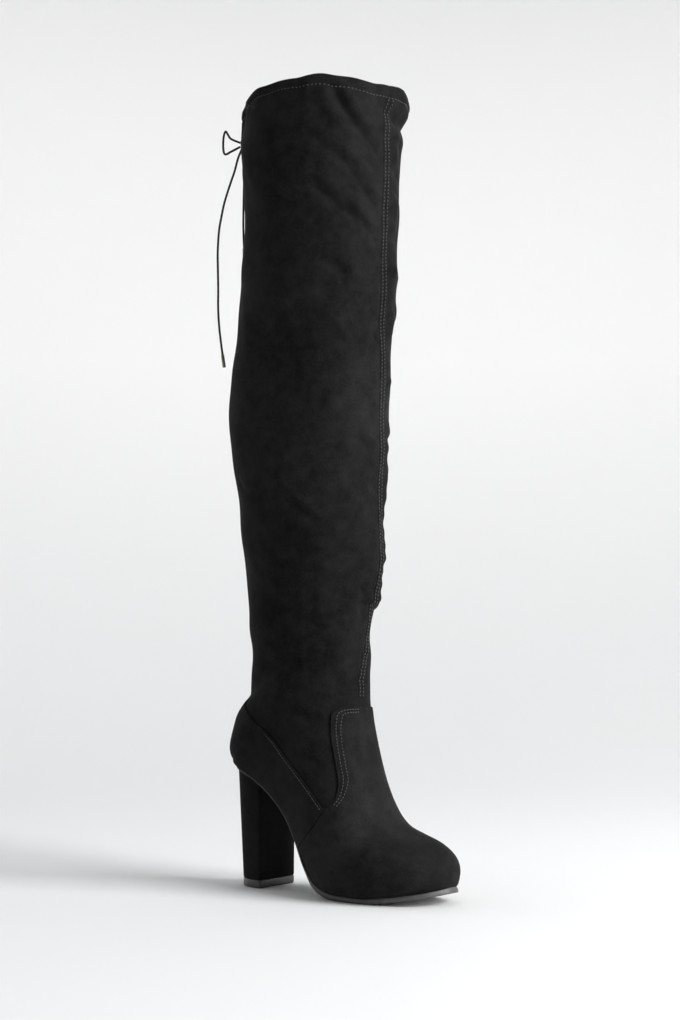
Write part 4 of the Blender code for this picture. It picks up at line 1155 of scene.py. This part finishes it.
def row_on_skin(place, around, shift, lift):
    """A line beside another on the skin, with its normals, for stitches."""
    arounds = kept_round(place, beside(place, around, np.full((len(place), 1), shift))[:, 0])
    return on_shaft(place, arounds, lift), skin_normal(place, arounds)


seam_rows = [stitches(*row_on_skin(seam_places, seam_around, side * STITCH_SHIFT, 0.00035)) for side in (-1, 1)]
hem_around = np.linspace(-1, 1, 500)
hem_places = np.full(500, LAST - CHANNEL / HEM_BAND)
hem_row = stitches(
    on_shaft(hem_places, hem_around, 0.0001), skin_normal(hem_places, hem_around), *HEM_STITCH,
)
stitch_piece("shaft_stitches", seam_rows + [hem_row])


def inset(line, shift):
    """A side-view line moved sideways by a distance, to the right of its own direction."""
    run = unit(np.gradient(line, axis=0))
    return line + np.column_stack([run[:, 1], -run[:, 0]]) * shift


def seam_stitches(line, shift):
    """Rows beside a seam on both sides of the foot, on an overlay's surface."""
    rows = []
    for side in (-1, 1):
        points, normals = on_skin(inset(line, shift), side)
        rows.append(stitches(points + normals * OVERLAY_OUT, normals, *CLOSE_STITCH))
    return rows


stitch_piece("vamp_stitches", seam_stitches(edge_line, 0.0018) + seam_stitches(edge_line, 0.0042))
stitch_piece("counter_stitches", seam_stitches(counter_line[120:], 0.0020))

# %% [markdown]
# ## The sole
# A thin unit follows the foot from toe to heel seat. Its section is a closed loop: flat on
# top, rounded at both edges and flat under the ball, where it touches the floor. The loop is
# carried along the sole's own line, and shrinks to nothing at the toe and at the back.

# %% Outsole
SOLE_THICKNESS = 0.0042
WAIST_THICKNESS = 0.0022
SOLE_LIP = 0.0005
CLEARANCE = 0.0003
EDGE_BULGE = 0.0009


def sole_edges(place, margin):
    """Both low edges of the skin, moved outwards along the sole's top by a margin."""
    step = 0.02
    found = []
    up = sole_up(place)
    for side in (-1, 1):
        run = skin(np.minimum(place + step, CLOSED_FROM), side) - skin(np.maximum(place - step, 0), side)
        out = unit(np.cross(up, run)) * -side
        found.append((skin(place, side), out))
    for tip in (0, -1):
        middle = unit(found[0][1][tip] + found[1][1][tip])
        found[0][1][tip] = middle
        found[1][1][tip] = middle
    return [edge + out * margin for edge, out in found], up


sole_places = np.interp(np.linspace(0, 1, 181), np.linspace(0, 1, 120), even_places(0, CLOSED_FROM, 120))
lip = OVERLAY_OUT + SOLE_LIP - (OVERLAY_OUT + SOLE_LIP - 0.0002) * smooth(9.5, 12.5, sole_places)
(outer_edge, inner_edge), up = sole_edges(sole_places, lip[:, None])
share = smooth(float(height_of(0.02)), float(height_of(0.16)), outer_edge[:, 2] / 2 + inner_edge[:, 2] / 2)
forefoot = outer_edge[:, 0] > 0.6 * FOOT_LENGTH - ORIGIN_ALONG
thickness = SOLE_THICKNESS + (WAIST_THICKNESS - SOLE_THICKNESS) * np.where(forefoot, 0, share)
edge_turn = np.radians(np.arange(0, 181, 30))
edge_bulge = EDGE_BULGE * np.sin(edge_turn)
edge_down = (1 - np.cos(edge_turn)) / 2
inner_shares = np.array([0.25, 0.5, 0.75])
flat = np.ones(len(inner_shares))
across_share = np.concatenate([0 * edge_turn, inner_shares, np.ones(len(edge_turn)), inner_shares[::-1]])
bulge = np.concatenate([edge_bulge, 0 * flat, edge_bulge[::-1], 0 * flat])
down_share = np.concatenate([edge_down, flat, edge_down[::-1], 0 * flat])
width = np.linalg.norm(inner_edge - outer_edge, axis=1, keepdims=True)
inward = (inner_edge - outer_edge) / np.maximum(width, 1e-9)
pull_in = np.where(across_share < 0.5, 1, -1) * (EDGE_BULGE - bulge) * ((across_share == 0) | (across_share == 1))
reach = np.minimum(1, width / 0.004)
loop = (
    outer_edge[:, None, :] + (inner_edge - outer_edge)[:, None, :] * across_share[None, :, None]
    + inward[:, None, :] * (pull_in[None, :] * reach)[:, :, None]
    - up[:, None, :] * (CLEARANCE + thickness[:, None] * down_share[None, :])[:, :, None]
)
on_floor = (sole_places > 5.5) & (sole_places < 7.7)
loop[:, :, 2] = np.where(on_floor[:, None] & (down_share[None, :] == 1), 0.0, np.maximum(loop[:, :, 2], 0.0))
loop = np.concatenate([loop, loop[:, :1]], axis=1)
rows, cols = loop.shape[:2]
ends = np.array([np.arange(cols - 1)])
sole = mesh_from("sole_unit", loop, [grid_faces(rows, cols)[:, ::-1], ends, ends[:, ::-1] + (rows - 1) * cols], 1e-6)
sole.data.set_sharp_from_angle(angle=math.radians(40))
dress(sole, sole_edge, "sole_rubber", "outsole")

# %% [markdown]
# ## Heel and tip
# The block heel is covered in the same suede. Seen from above it is a D: round at the back
# and flat in front, where the cover is joined. It tapers a little to its tip, whose moulded
# edge is glossy. The cover is a loft between two outlines that share one numbering.

# %% Heel
HEEL_BREAST = 0.0419
HEEL_TOP_LENGTH = 0.0372
HEEL_TIP_LENGTH = 0.0312
HEEL_WIDTH = 0.0480
HEEL_TIP_WIDTH = 0.0465
HEEL_TIP_THICKNESS = 0.0066
HEEL_CORNER = 0.0022


def heel_ring(length, width, inset_by=0.0):
    """The D-shaped outline: a squared quarter turn at the back, straight sides and rounded front corners."""
    breast = HEEL_BREAST - ORIGIN_ALONG
    round_length = min(length, width * 0.62)
    turn = np.linspace(0, math.pi / 2, 25)
    x = list(breast - length + round_length * (1 - np.cos(turn)))
    y = list(width / 2 * np.sin(turn) ** 0.9)
    corner = np.linspace(0, math.pi / 2, 7)
    x += list(breast - HEEL_CORNER * (1 - np.sin(corner)))
    y += list(width / 2 - HEEL_CORNER * (1 - np.cos(corner)))
    across = np.linspace(1, 0, 7)[1:] * (width / 2 - HEEL_CORNER)
    x += [breast] * 6
    y += list(across)
    x, y = np.array(x), np.array(y)
    x = np.concatenate([x, x[-2:0:-1]])
    y = np.concatenate([y, -y[-2:0:-1]])
    centre = breast - length / 2
    shrink = 1 - inset_by / (length / 2)
    return np.column_stack([centre + (x - centre) * shrink, y * (1 - inset_by / (width / 2))])


def loft(name, rings, sharp_deg):
    """A closed solid through rings of equal numbering, with a flat face at both ends."""
    rings = np.array(rings)
    rings = np.concatenate([rings, rings[:, :1]], axis=1)
    rows, cols = rings.shape[:2]
    ends = np.arange(cols - 1)[None, :]
    thing = mesh_from(name, rings, [grid_faces(rows, cols), ends[:, ::-1], ends + (rows - 1) * cols])
    thing.data.set_sharp_from_angle(angle=math.radians(sharp_deg))
    return thing


def seat_under(x):
    """The height of the outsole's underside over the heel."""
    places = np.linspace(9, CLOSED_FROM, 80)
    low = (skin(places, -1.0) + skin(places, 1.0)) / 2 - sole_up(places) * (CLEARANCE + WAIST_THICKNESS)
    order = np.argsort(low[:, 0])
    return np.interp(x, low[order, 0], low[order, 2])


ring_top = heel_ring(HEEL_TOP_LENGTH, HEEL_WIDTH)
top_z = seat_under(ring_top[:, 0]) - 0.0001
low_z = HEEL_TIP_THICKNESS + 0.0002
levels = np.concatenate([np.linspace(0, 0.97, 46), 1 - 0.03 * (1 - np.linspace(0.2, 1, 6)) ** 2])
tucks = np.concatenate([np.zeros(46), 0.0005 * np.linspace(0.2, 1, 6) ** 2])
rings = []
for level, tuck in zip(levels, tucks):
    length = HEEL_TOP_LENGTH + (HEEL_TIP_LENGTH - HEEL_TOP_LENGTH) * level
    width = HEEL_WIDTH + (HEEL_TIP_WIDTH - HEEL_WIDTH) * level
    ring = heel_ring(length, width, tuck)
    rings.append(np.column_stack([ring, top_z + (low_z - top_z) * level]))
heel = loft("heel_cover", rings, 50)
# The heel's suede copy has darker greys: painted shade on the heel.
dress(heel, shaded_heel_suede, "suede", "heel")

# %% Heel tip
tip_heights = np.array([1.0, 0.97, 0.90, 0.80, 0.5, 0.2, 0.08, 0.02, 0.0]) * HEEL_TIP_THICKNESS
tip_insets = np.array([0.0007, 0.0002, 0.0, 0.0, 0.0, 0.0, 0.0002, 0.0005, 0.0009])
rings = []
for z, tuck in zip(tip_heights, tip_insets):
    ring = heel_ring(HEEL_TIP_LENGTH, HEEL_TIP_WIDTH, tuck)
    rings.append(np.column_stack([ring, np.full(len(ring), z)]))
tip = loft("heel_tip_piece", rings, 60)
dress(tip, tip_plastic, "tip_plastic", "heel_tip")

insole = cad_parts["insole"]
insole.data.materials.clear()
insole.data.materials.append(lining.material)

# %% [markdown]
# ## The zip
# A woven tape lies in the bed, with a nylon coil down its middle. The suede is folded back
# along both sides into two lips, and topstitched. All of them are patches of the same kind:
# a grid of distances across and along the zip's line, laid on the skin from the side.

# %% Zip patches
def zip_patch(name, across, along, front_lift, back_lift):
    """A closed patch on the inner side: front and back are distances out of the skin."""
    across, along = np.meshgrid(across, along)
    points, normals = on_skin(zip_point(across, along).reshape(-1, 2), 1, True)
    points, normals = points.reshape(*across.shape, 3), unit(normals.reshape(*across.shape, 3))
    front = points + normals * (front_lift + 0 * across)[..., None]
    back = points + normals * (back_lift + 0 * across)[..., None]
    return faced_out(sheet(name, front, back))


zip_along = np.linspace(-0.003, zip_length + 0.0025, 150)
tape = zip_patch("zip_tape_cloth", np.linspace(-0.0048, 0.0048, 9), zip_along, -0.0004, -0.0013)
dress(tape, zip_cloth, "zip_cloth", "zip_tape")

LIP_ACROSS = np.array([0.0040, 0.0036, 0.0036, 0.0040, 0.0046, 0.0054, 0.0064, 0.0076, 0.0090, 0.0104, 0.0112])
LIP_LIFT = np.array([-0.0007, -0.0003, 0.0004, 0.0009, 0.00115, 0.00110, 0.00085, 0.00075, 0.00060, 0.00030, -0.0003])
along_lip = np.linspace(-0.006, zip_length + 0.005, 240)
for side, word in ((-1, "back"), (1, "front")):
    ripple = 0.00012 * np.sin(along_lip * 2 * math.pi / 0.0062 + side) + 0.00010 * np.sin(along_lip * 390)
    lift = LIP_LIFT[None, :] + ripple[:, None] * (LIP_LIFT > 0.0005)
    lip = zip_patch("zip_lip_" + word, side * LIP_ACROSS, along_lip, lift, -0.0012)
    lip.data.set_sharp_from_angle(angle=math.radians(60))
    dress(lip, suede, "suede")

lip_rows = []
for side in (-1, 1):
    line = zip_point(np.full(300, side * 0.0070), np.linspace(-0.001, zip_length + 0.001, 300))
    points, normals = on_skin(line, 1)
    lip_rows.append(stitches(points + normals * 0.0008, normals, *CLOSE_STITCH))
stitch_piece("zip_stitches", lip_rows)

# %% [markdown]
# The coil is one nylon thread wound into links. Seen closely, it is two rows of small slanting beads
# that meet in the middle.

# %% Coil
PITCH = 0.00125
BEAD_RINGS = 6
BEAD_SIDES = 8


def bead_rows(points, normals, half, size):
    """Ellipsoid beads on both sides of a line, shifted half a step against each other."""
    index = even_along(points, PITCH)
    out = unit(lerp_rows(normals, index))
    along = unit(lerp_rows(points, index + 0.5) - lerp_rows(points, index - 0.5))
    across = unit(np.cross(out, along))
    centre = lerp_rows(points, index)
    blocks = []
    theta = np.linspace(0, math.pi, BEAD_RINGS)[:, None]
    phi = np.arange(BEAD_SIDES) / BEAD_SIDES * 2 * math.pi
    ball = np.stack([
        np.sin(theta) * np.cos(phi), np.sin(theta) * np.sin(phi), np.cos(theta) + 0 * phi,
    ], axis=-1).reshape(-1, 3)
    for side in (-1, 1):
        shift = along * (side * PITCH / 4)
        middle = centre + across * (side * half) + shift
        lean = unit(across + along * 0.25 * side)
        fore = np.cross(out, lean)
        parts = (
            lean[:, None, :] * ball[None, :, 2:3] * size[0] + fore[:, None, :] * ball[None, :, 0:1] * size[1]
            + out[:, None, :] * ball[None, :, 1:2] * size[2]
        )
        blocks.append((middle[:, None, :] + parts).reshape(-1, 3))
    quads = np.roll(tube_faces(BEAD_RINGS, BEAD_SIDES)[:, ::-1], 1, axis=1)
    start = (np.arange(2 * len(index)) * len(ball))[:, None, None]
    return np.concatenate(blocks), (quads[None] + start).reshape(-1, 4)


line = zip_foot + np.linspace(0.0005, zip_length - 0.009, 260)[:, None] * zip_run
points, normals = on_skin(line, 1)
bead_points, bead_faces = bead_rows(points + normals * 0.00015, normals, 0.00085, (0.00105, 0.00050, 0.00062))
coil = mesh_from("zip_coil_links", bead_points, [bead_faces], 1e-6)
dress(coil, coil_nylon, "zip_coil", "zip_teeth")

# %% [markdown]
# The slider is a small casting: a rounded body, a bridge over it that holds a pin, and the
# tag that hangs from the pin. Each of its parts is a superellipsoid, that is a ball whose
# sines and cosines are raised to a power, so that it goes from round to nearly square.

# %% Slider and pull
PIN = np.array([0.058397, 0.056469, 0.271374])
PIN_AXIS = np.array([0.998131, -0.006405, -0.060777])
ZIP_UP = np.array([0.061113, 0.104602, 0.992635])
ZIP_OUT = np.array([0.0, 0.994494, -0.104798])
SLIDER_LENGTH = 0.0095
SLIDER_WIDTH = 0.0066
SLIDER_THICKNESS = 0.0022
PULL_LENGTH = 0.0205
PULL_WIDTH = 0.0046
PIN_RADIUS = 0.0006
slider_middle = PIN - ZIP_OUT * (0.0003 + 0.0015 + SLIDER_THICKNESS / 2)


def power(value, exponent):
    return np.sign(value) * np.abs(value) ** exponent


def lozenge(centre, half_up, half_across, half_out, square=0.45, taper=0.0, flat=0.6):
    """A closed rounded block: cosines and sines to a power, narrowed towards its foot by a taper."""
    theta = np.linspace(-math.pi / 2, math.pi / 2, 13)[:, None]
    phi = np.linspace(0, 2 * math.pi, 33)[None, :]
    up_share = power(np.cos(theta), flat) * power(np.cos(phi), square)
    side_share = power(np.cos(theta), flat) * power(np.sin(phi), square)
    out_share = power(np.sin(theta), flat) + 0 * phi
    side_share = side_share * (1 + taper * up_share)
    return (
        centre + up_share[..., None] * half_up * ZIP_UP + side_share[..., None] * half_across * PIN_AXIS
        + out_share[..., None] * half_out * ZIP_OUT
    )


def grids_piece(name, grids):
    """Several closed grids in one mesh."""
    points, faces, start = [], [], 0
    for grid in grids:
        points.append(grid.reshape(-1, 3))
        faces.append(grid_faces(grid.shape[0], grid.shape[1], start))
        start += grid.shape[0] * grid.shape[1]
    thing = faced_out(mesh_from(name, np.concatenate(points), faces, 2e-6), 1e-6)
    thing.data.shade_smooth()
    return thing


def ring_round(centre, axis, radius, tube_radius, squash=1.0):
    """A torus about an axis."""
    u = np.linspace(0, 2 * math.pi, 33)[:, None, None]
    v = np.linspace(0, 2 * math.pi, 13)[None, :, None]
    side = unit(np.cross(axis, ZIP_UP))
    other = np.cross(axis, side)
    spoke = side * np.cos(u) + other * np.sin(u)
    return centre + spoke * (radius + tube_radius * np.cos(v)) + axis * tube_radius * squash * np.sin(v)


ear_gap = PULL_WIDTH / 2 + 0.0003
ears = [
    lozenge(
        PIN + PIN_AXIS * side * (ear_gap + 0.00045) - ZIP_OUT * 0.0010, 0.0017, 0.00045, 0.0019, 0.6, 0.0, 0.5,
    )
    for side in (-1, 1)
]
turned = np.linspace(0, 2 * math.pi, 17)
rod_stations = np.linspace(-1, 1, 5)[:, None, None] * (ear_gap + 0.0003) * PIN_AXIS
rod_ring = np.cos(turned)[None, :, None] * ZIP_UP + np.sin(turned)[None, :, None] * ZIP_OUT
pin_rod = PIN + rod_stations + rod_ring * PIN_RADIUS
slider = grids_piece("zip_slider_body", [
    lozenge(slider_middle, SLIDER_LENGTH / 2, SLIDER_WIDTH / 2, SLIDER_THICKNESS / 2, 0.55, 0.16, 0.4),
    lozenge(slider_middle + ZIP_OUT * 0.0012, 0.0036, 0.0016, 0.0006, 0.8, 0.1, 0.7),
    pin_rod,
] + ears)
dress(slider, nickel, "zip_metal", "zip_slider")

tag_top, tag_low = 0.0030, PULL_LENGTH - 0.0004
tag_middle = PIN - ZIP_UP * (tag_top + tag_low) / 2
stem = lozenge(PIN - ZIP_UP * 0.0026, 0.0022, 0.0011, 0.00045, 0.6, 0.2, 0.5)
tag = lozenge(tag_middle, (tag_low - tag_top) / 2, PULL_WIDTH / 2, 0.00055, 0.42, -0.10, 0.35)
knob = lozenge(PIN - ZIP_UP * (PULL_LENGTH - 0.0026), 0.0019, 0.0017, 0.00075, 0.9, 0.0, 0.6)
pull = grids_piece("zip_pull_tag", [
    tag, stem, knob, ring_round(PIN, PIN_AXIS, 0.00120, 0.00030, 3.2),
])
dress(pull, nickel, "zip_metal", "zip_pull", body="pull")

# %% [markdown]
# ## The drawstring
# A thin round cord comes out of the channel at the back of the rim and is tied in a bow: two
# loops and two ends that hang against the shaft, each closed by a small metal aglet. The
# routes repeat the CAD's, measured from the middle of the knot. A tube with two families of
# slanting ridges is carried along each of them, which is how a braid looks from near.

# %% Cords
CORD_DIAMETER = 0.0020
KNOT_MIDDLE = np.array([-0.002525, -0.025905, 0.640806])
KNOT_SIZE = np.array([0.0072, 0.0095, 0.0078])
AGLET_DIAMETER = 0.0029
BRAID_PITCH = 0.0016
SLEEVE_STATIONS = np.array([
    -0.0006, -0.0005, 0.0, 0.0012, 0.0014, 0.0016, 0.0055, 0.0094, 0.0096, 0.0098, 0.0108, 0.0110,
])
SLEEVE_WIDTHS = np.array([0.70, 0.94, 1.0, 1.0, 0.93, 1.0, 1.0, 1.0, 0.93, 1.0, 1.0, 0.80])
ROUTES = {
    "drawstring_loop": """
-5.5 -3.5 3.0 / -10.0 -6.8 5.5 / -12.3 -8.6 9.6 / -13.9 -9.8 12.3 / -15.2 -10.8 7.0
-15.4 -11.0 -2.9 / -14.0 -10.0 -8.3 / -9.5 -6.8 -5.8 / -5.0 -3.6 -2.8""",
    "drawstring_end_long": """
-1.5 -3.4 -5.0 / -4.4 -4.0 -12.7 / -7.2 -5.1 -23.4 / -11.0 -7.8 -37.6 / -14.4 -10.3 -51.8
-16.5 -11.7 -64.2 / -18.1 -12.9 -76.6 / -18.9 -13.5 -94.3 / -18.7 -13.4 -110.5
-18.5 -13.1 -128.2 / -18.4 -13.1 -145.4 / -17.5 -12.6 -161.2 / -16.1 -11.6 -176.0 / -15.0 -10.8 -186.0""",
    "drawstring_bow": """
-1.0 5.5 -2.0 / -5.6 13.5 -8.0 / -11.0 21.5 -19.5 / -14.0 27.0 -34.0 / -14.5 29.0 -47.0
-12.5 32.0 -52.5 / -10.0 36.0 -45.0 / -8.5 36.0 -30.0 / -7.0 28.0 -12.0 / -3.6 15.0 4.6 / -1.2 6.2 4.4""",
    "drawstring_end_short": """
-3.0 2.4 -5.0 / -6.8 7.0 -15.0 / -10.5 11.0 -30.0 / -13.5 14.0 -48.0 / -14.5 15.0 -68.0
-14.0 15.5 -88.0""",
}


def tube(name, path, radius, sides=16, braid=0.0):
    """Circles square to a path, their frame carried on without twist; a braid adds slanting ridges."""
    path = np.asarray(path)
    tangent = unit(np.gradient(path, axis=0))
    side = unit(np.cross(tangent[0], [0.3, 0.2, 0.9]))
    sides_list = []
    for step in tangent:
        side = unit(side - step * (side @ step))
        sides_list.append(side)
    side = np.array(sides_list)
    other = np.cross(tangent, side)
    walked = walked_along(path)
    turn = np.linspace(0, 2 * math.pi, sides + 1)[None, :]
    phase = walked[:, None] / BRAID_PITCH * 2 * math.pi
    ridges = np.maximum(np.cos(4 * turn + phase), np.cos(4 * turn - phase + 0.8))
    size = radius * (1 + braid * (ridges - 1))
    ring = side[:, None, :] * np.cos(turn)[..., None] + other[:, None, :] * np.sin(turn)[..., None]
    grid = path[:, None, :] + ring * size[..., None]
    first = np.repeat(path[:1, None, :], sides + 1, axis=1)
    last = np.repeat(path[-1:, None, :], sides + 1, axis=1)
    return grids_piece(name, [np.concatenate([first, grid, last])])


def route_points(name, spacing=0.0008):
    """A smooth, evenly spaced path through a route, whose ends at the knot start inside it."""
    route = numbers(ROUTES[name]) / 1000
    for end in ((0,) if "_end_" in name else (0, -1)):
        way = unit(route[end])
        size = 2 * np.linalg.norm(way / KNOT_SIZE)
        route[end] = way * (1 / size + 0.0003)
    dense = between_rows(route + KNOT_MIDDLE, np.linspace(0, len(route) - 1, 60 * len(route)))
    walked = walked_along(dense)
    marks = np.linspace(0, walked[-1], int(walked[-1] / spacing) + 1)
    return np.stack([np.interp(marks, walked, dense[:, axis]) for axis in range(3)], axis=1), walked[-1]


turns = np.linspace(0, 1, 150)
wind = turns * 2 * math.pi * 2.6 + 0.6
knot_path = KNOT_MIDDLE + np.column_stack([
    np.cos(wind) * (KNOT_SIZE[0] / 2 - 0.0010), (turns - 0.5) * 0.0056 + 0.0008 * np.sin(wind * 0.5),
    np.sin(wind) * (KNOT_SIZE[2] / 2 - 0.0010),
])
cross_turn = np.linspace(0, 1, 60)
cross_path = KNOT_MIDDLE + np.column_stack([
    -0.0012 + 0.0012 * np.sin(cross_turn * math.pi), (cross_turn - 0.5) * 0.0078,
    0.0016 * np.cos(cross_turn * 2 * math.pi),
])
knot_one = tube("knot_wind", knot_path, CORD_DIAMETER / 2, 14, 0.06)
knot_two = tube("knot_core", cross_path, CORD_DIAMETER / 2 * 1.5, 14, 0.05)
mesh = bmesh.new()
mesh.from_mesh(knot_one.data)
mesh.from_mesh(knot_two.data)
mesh.to_mesh(knot_one.data)
mesh.free()
bpy.data.objects.remove(knot_two)
knot_one.name = "bow_knot"
dress(knot_one, cord_cloth, "cord", "drawstring_knot")

for name in ROUTES:
    path, length = route_points(name)
    piece = dress(tube(name + "_cord", path, CORD_DIAMETER / 2, 16, 0.05), cord_cloth, "cord", name)
    if "_end_" in name:
        start = path[-1]
        run = unit(path[-1] - path[-4])
        sleeve = tube(name + "_sleeve", start + run * SLEEVE_STATIONS[:, None], AGLET_DIAMETER / 2, 20)
        grid = np.array([v.co for v in sleeve.data.vertices])
        reach = (grid - start) @ run
        centre = start + reach[:, None] * run
        factor = np.interp(reach, SLEEVE_STATIONS, SLEEVE_WIDTHS)[:, None]
        sleeve.data.vertices.foreach_set("co", (centre + (grid - centre) * factor).astype(np.float32).ravel())
        aglet = name.replace("drawstring_end", "aglet")
        sleeve.name = aglet + "_sleeve"
        dress(sleeve, dark_metal, "aglet_metal", aglet)
    print(name, round(length * 1000), "mm")

# %% [markdown]
# ## Floor, air and light
# The boot stands in a white cove: a flat floor that turns up into a wall all the way round,
# so that no horizon shows from any side. The wall behind the camera is a grey paper, because
# a black shoe in a white room needs something dark to mirror, or it goes flat. One broad
# soft light stands to the right, a weak one to the left behind the boot, a large one hangs
# overhead, and one more lights the wall that the picture shows. The picture is shown without
# a film curve, which would lift the blacks.

# %% Cove
FLOOR_RADIUS = 0.9
WALL_CURVE = 3.3
WALL_TOP = 4.6
FLOOR_BELOW = 0.0002
FLOOR_GREY = 0.71
WALL_GREY = 0.91
FRONT_GREY = 0.12
AIR_STRENGTH = 0.18
bend = np.radians(np.arange(3, 91, 3))
cove_radius = np.concatenate([
    [0.0, 0.4, FLOOR_RADIUS], FLOOR_RADIUS + WALL_CURVE * np.sin(bend), [FLOOR_RADIUS + WALL_CURVE],
])
cove_height = np.concatenate([np.zeros(3), WALL_CURVE * (1 - np.cos(bend)), [WALL_TOP]])
angles = np.linspace(0, 2 * math.pi, 97)
cove_grid = np.stack([
    cove_radius[:, None] * np.cos(angles), cove_radius[:, None] * np.sin(angles),
    cove_height[:, None] + 0 * angles - FLOOR_BELOW,
], axis=-1)
cove = mesh_from("cove", cove_grid, [grid_faces(len(cove_radius), len(angles))])
paper = Finish("cove_paper", 0.9)
axes = paper.node("ShaderNodeSeparateXYZ", {}, {"Vector": paper.place})
side_y = Value(paper, axes.socket.node.outputs[1])
side_z = Value(paper, axes.socket.node.outputs[2])
to_front = ((axes * 0.60 - side_y * 0.80 - 0.7) * 0.40).clamp() * (side_z * 0.9).clamp()
floor_white = paper.mix(paper.noise(3.0), grey(FLOOR_GREY), (0.72, 0.73, 0.74, 1))
white = paper.mix((side_z * 0.9 + 0.1).clamp(), floor_white, grey(WALL_GREY))
paper.set("Base Color", paper.mix(to_front, white, grey(FRONT_GREY)))
cove.data.materials.append(paper.material)
bpy.context.scene.view_settings.view_transform = "Standard"


def softbox(name, place, target, size, energy):
    """An area light that looks at a point."""
    data = bpy.data.lights.new(name, "AREA")
    data.shape = "RECTANGLE"
    data.size, data.size_y = size
    data.energy = energy
    light = bpy.data.objects.new(name, data)
    bpy.context.collection.objects.link(light)
    light.location = place
    light.rotation_euler = (Vector(target) - Vector(place)).to_track_quat("-Z", "Y").to_euler()
    return light


softbox("key", (2.35, 0.35, 1.10), (0.05, 0, 0.35), (1.5, 1.9), 128)
softbox("rim", (-2.2, -0.2, 1.5), (0.05, 0, 0.35), (1.0, 1.8), 6)
softbox("overhead", (0.0, 0.5, 3.4), (0.0, 0.3, 0.0), (3.0, 3.0), 30)
softbox("backdrop", (-1.4, 1.9, 2.7), (-2.1, 2.8, 0.5), (3.4, 1.6), 17)
world = bpy.data.worlds.new("air")
world.use_nodes = True
world.node_tree.nodes["Background"].inputs[0].default_value = (0.95, 0.96, 1.0, 1)
world.node_tree.nodes["Background"].inputs[1].default_value = AIR_STRENGTH
bpy.context.scene.world = world
print("lights are set")
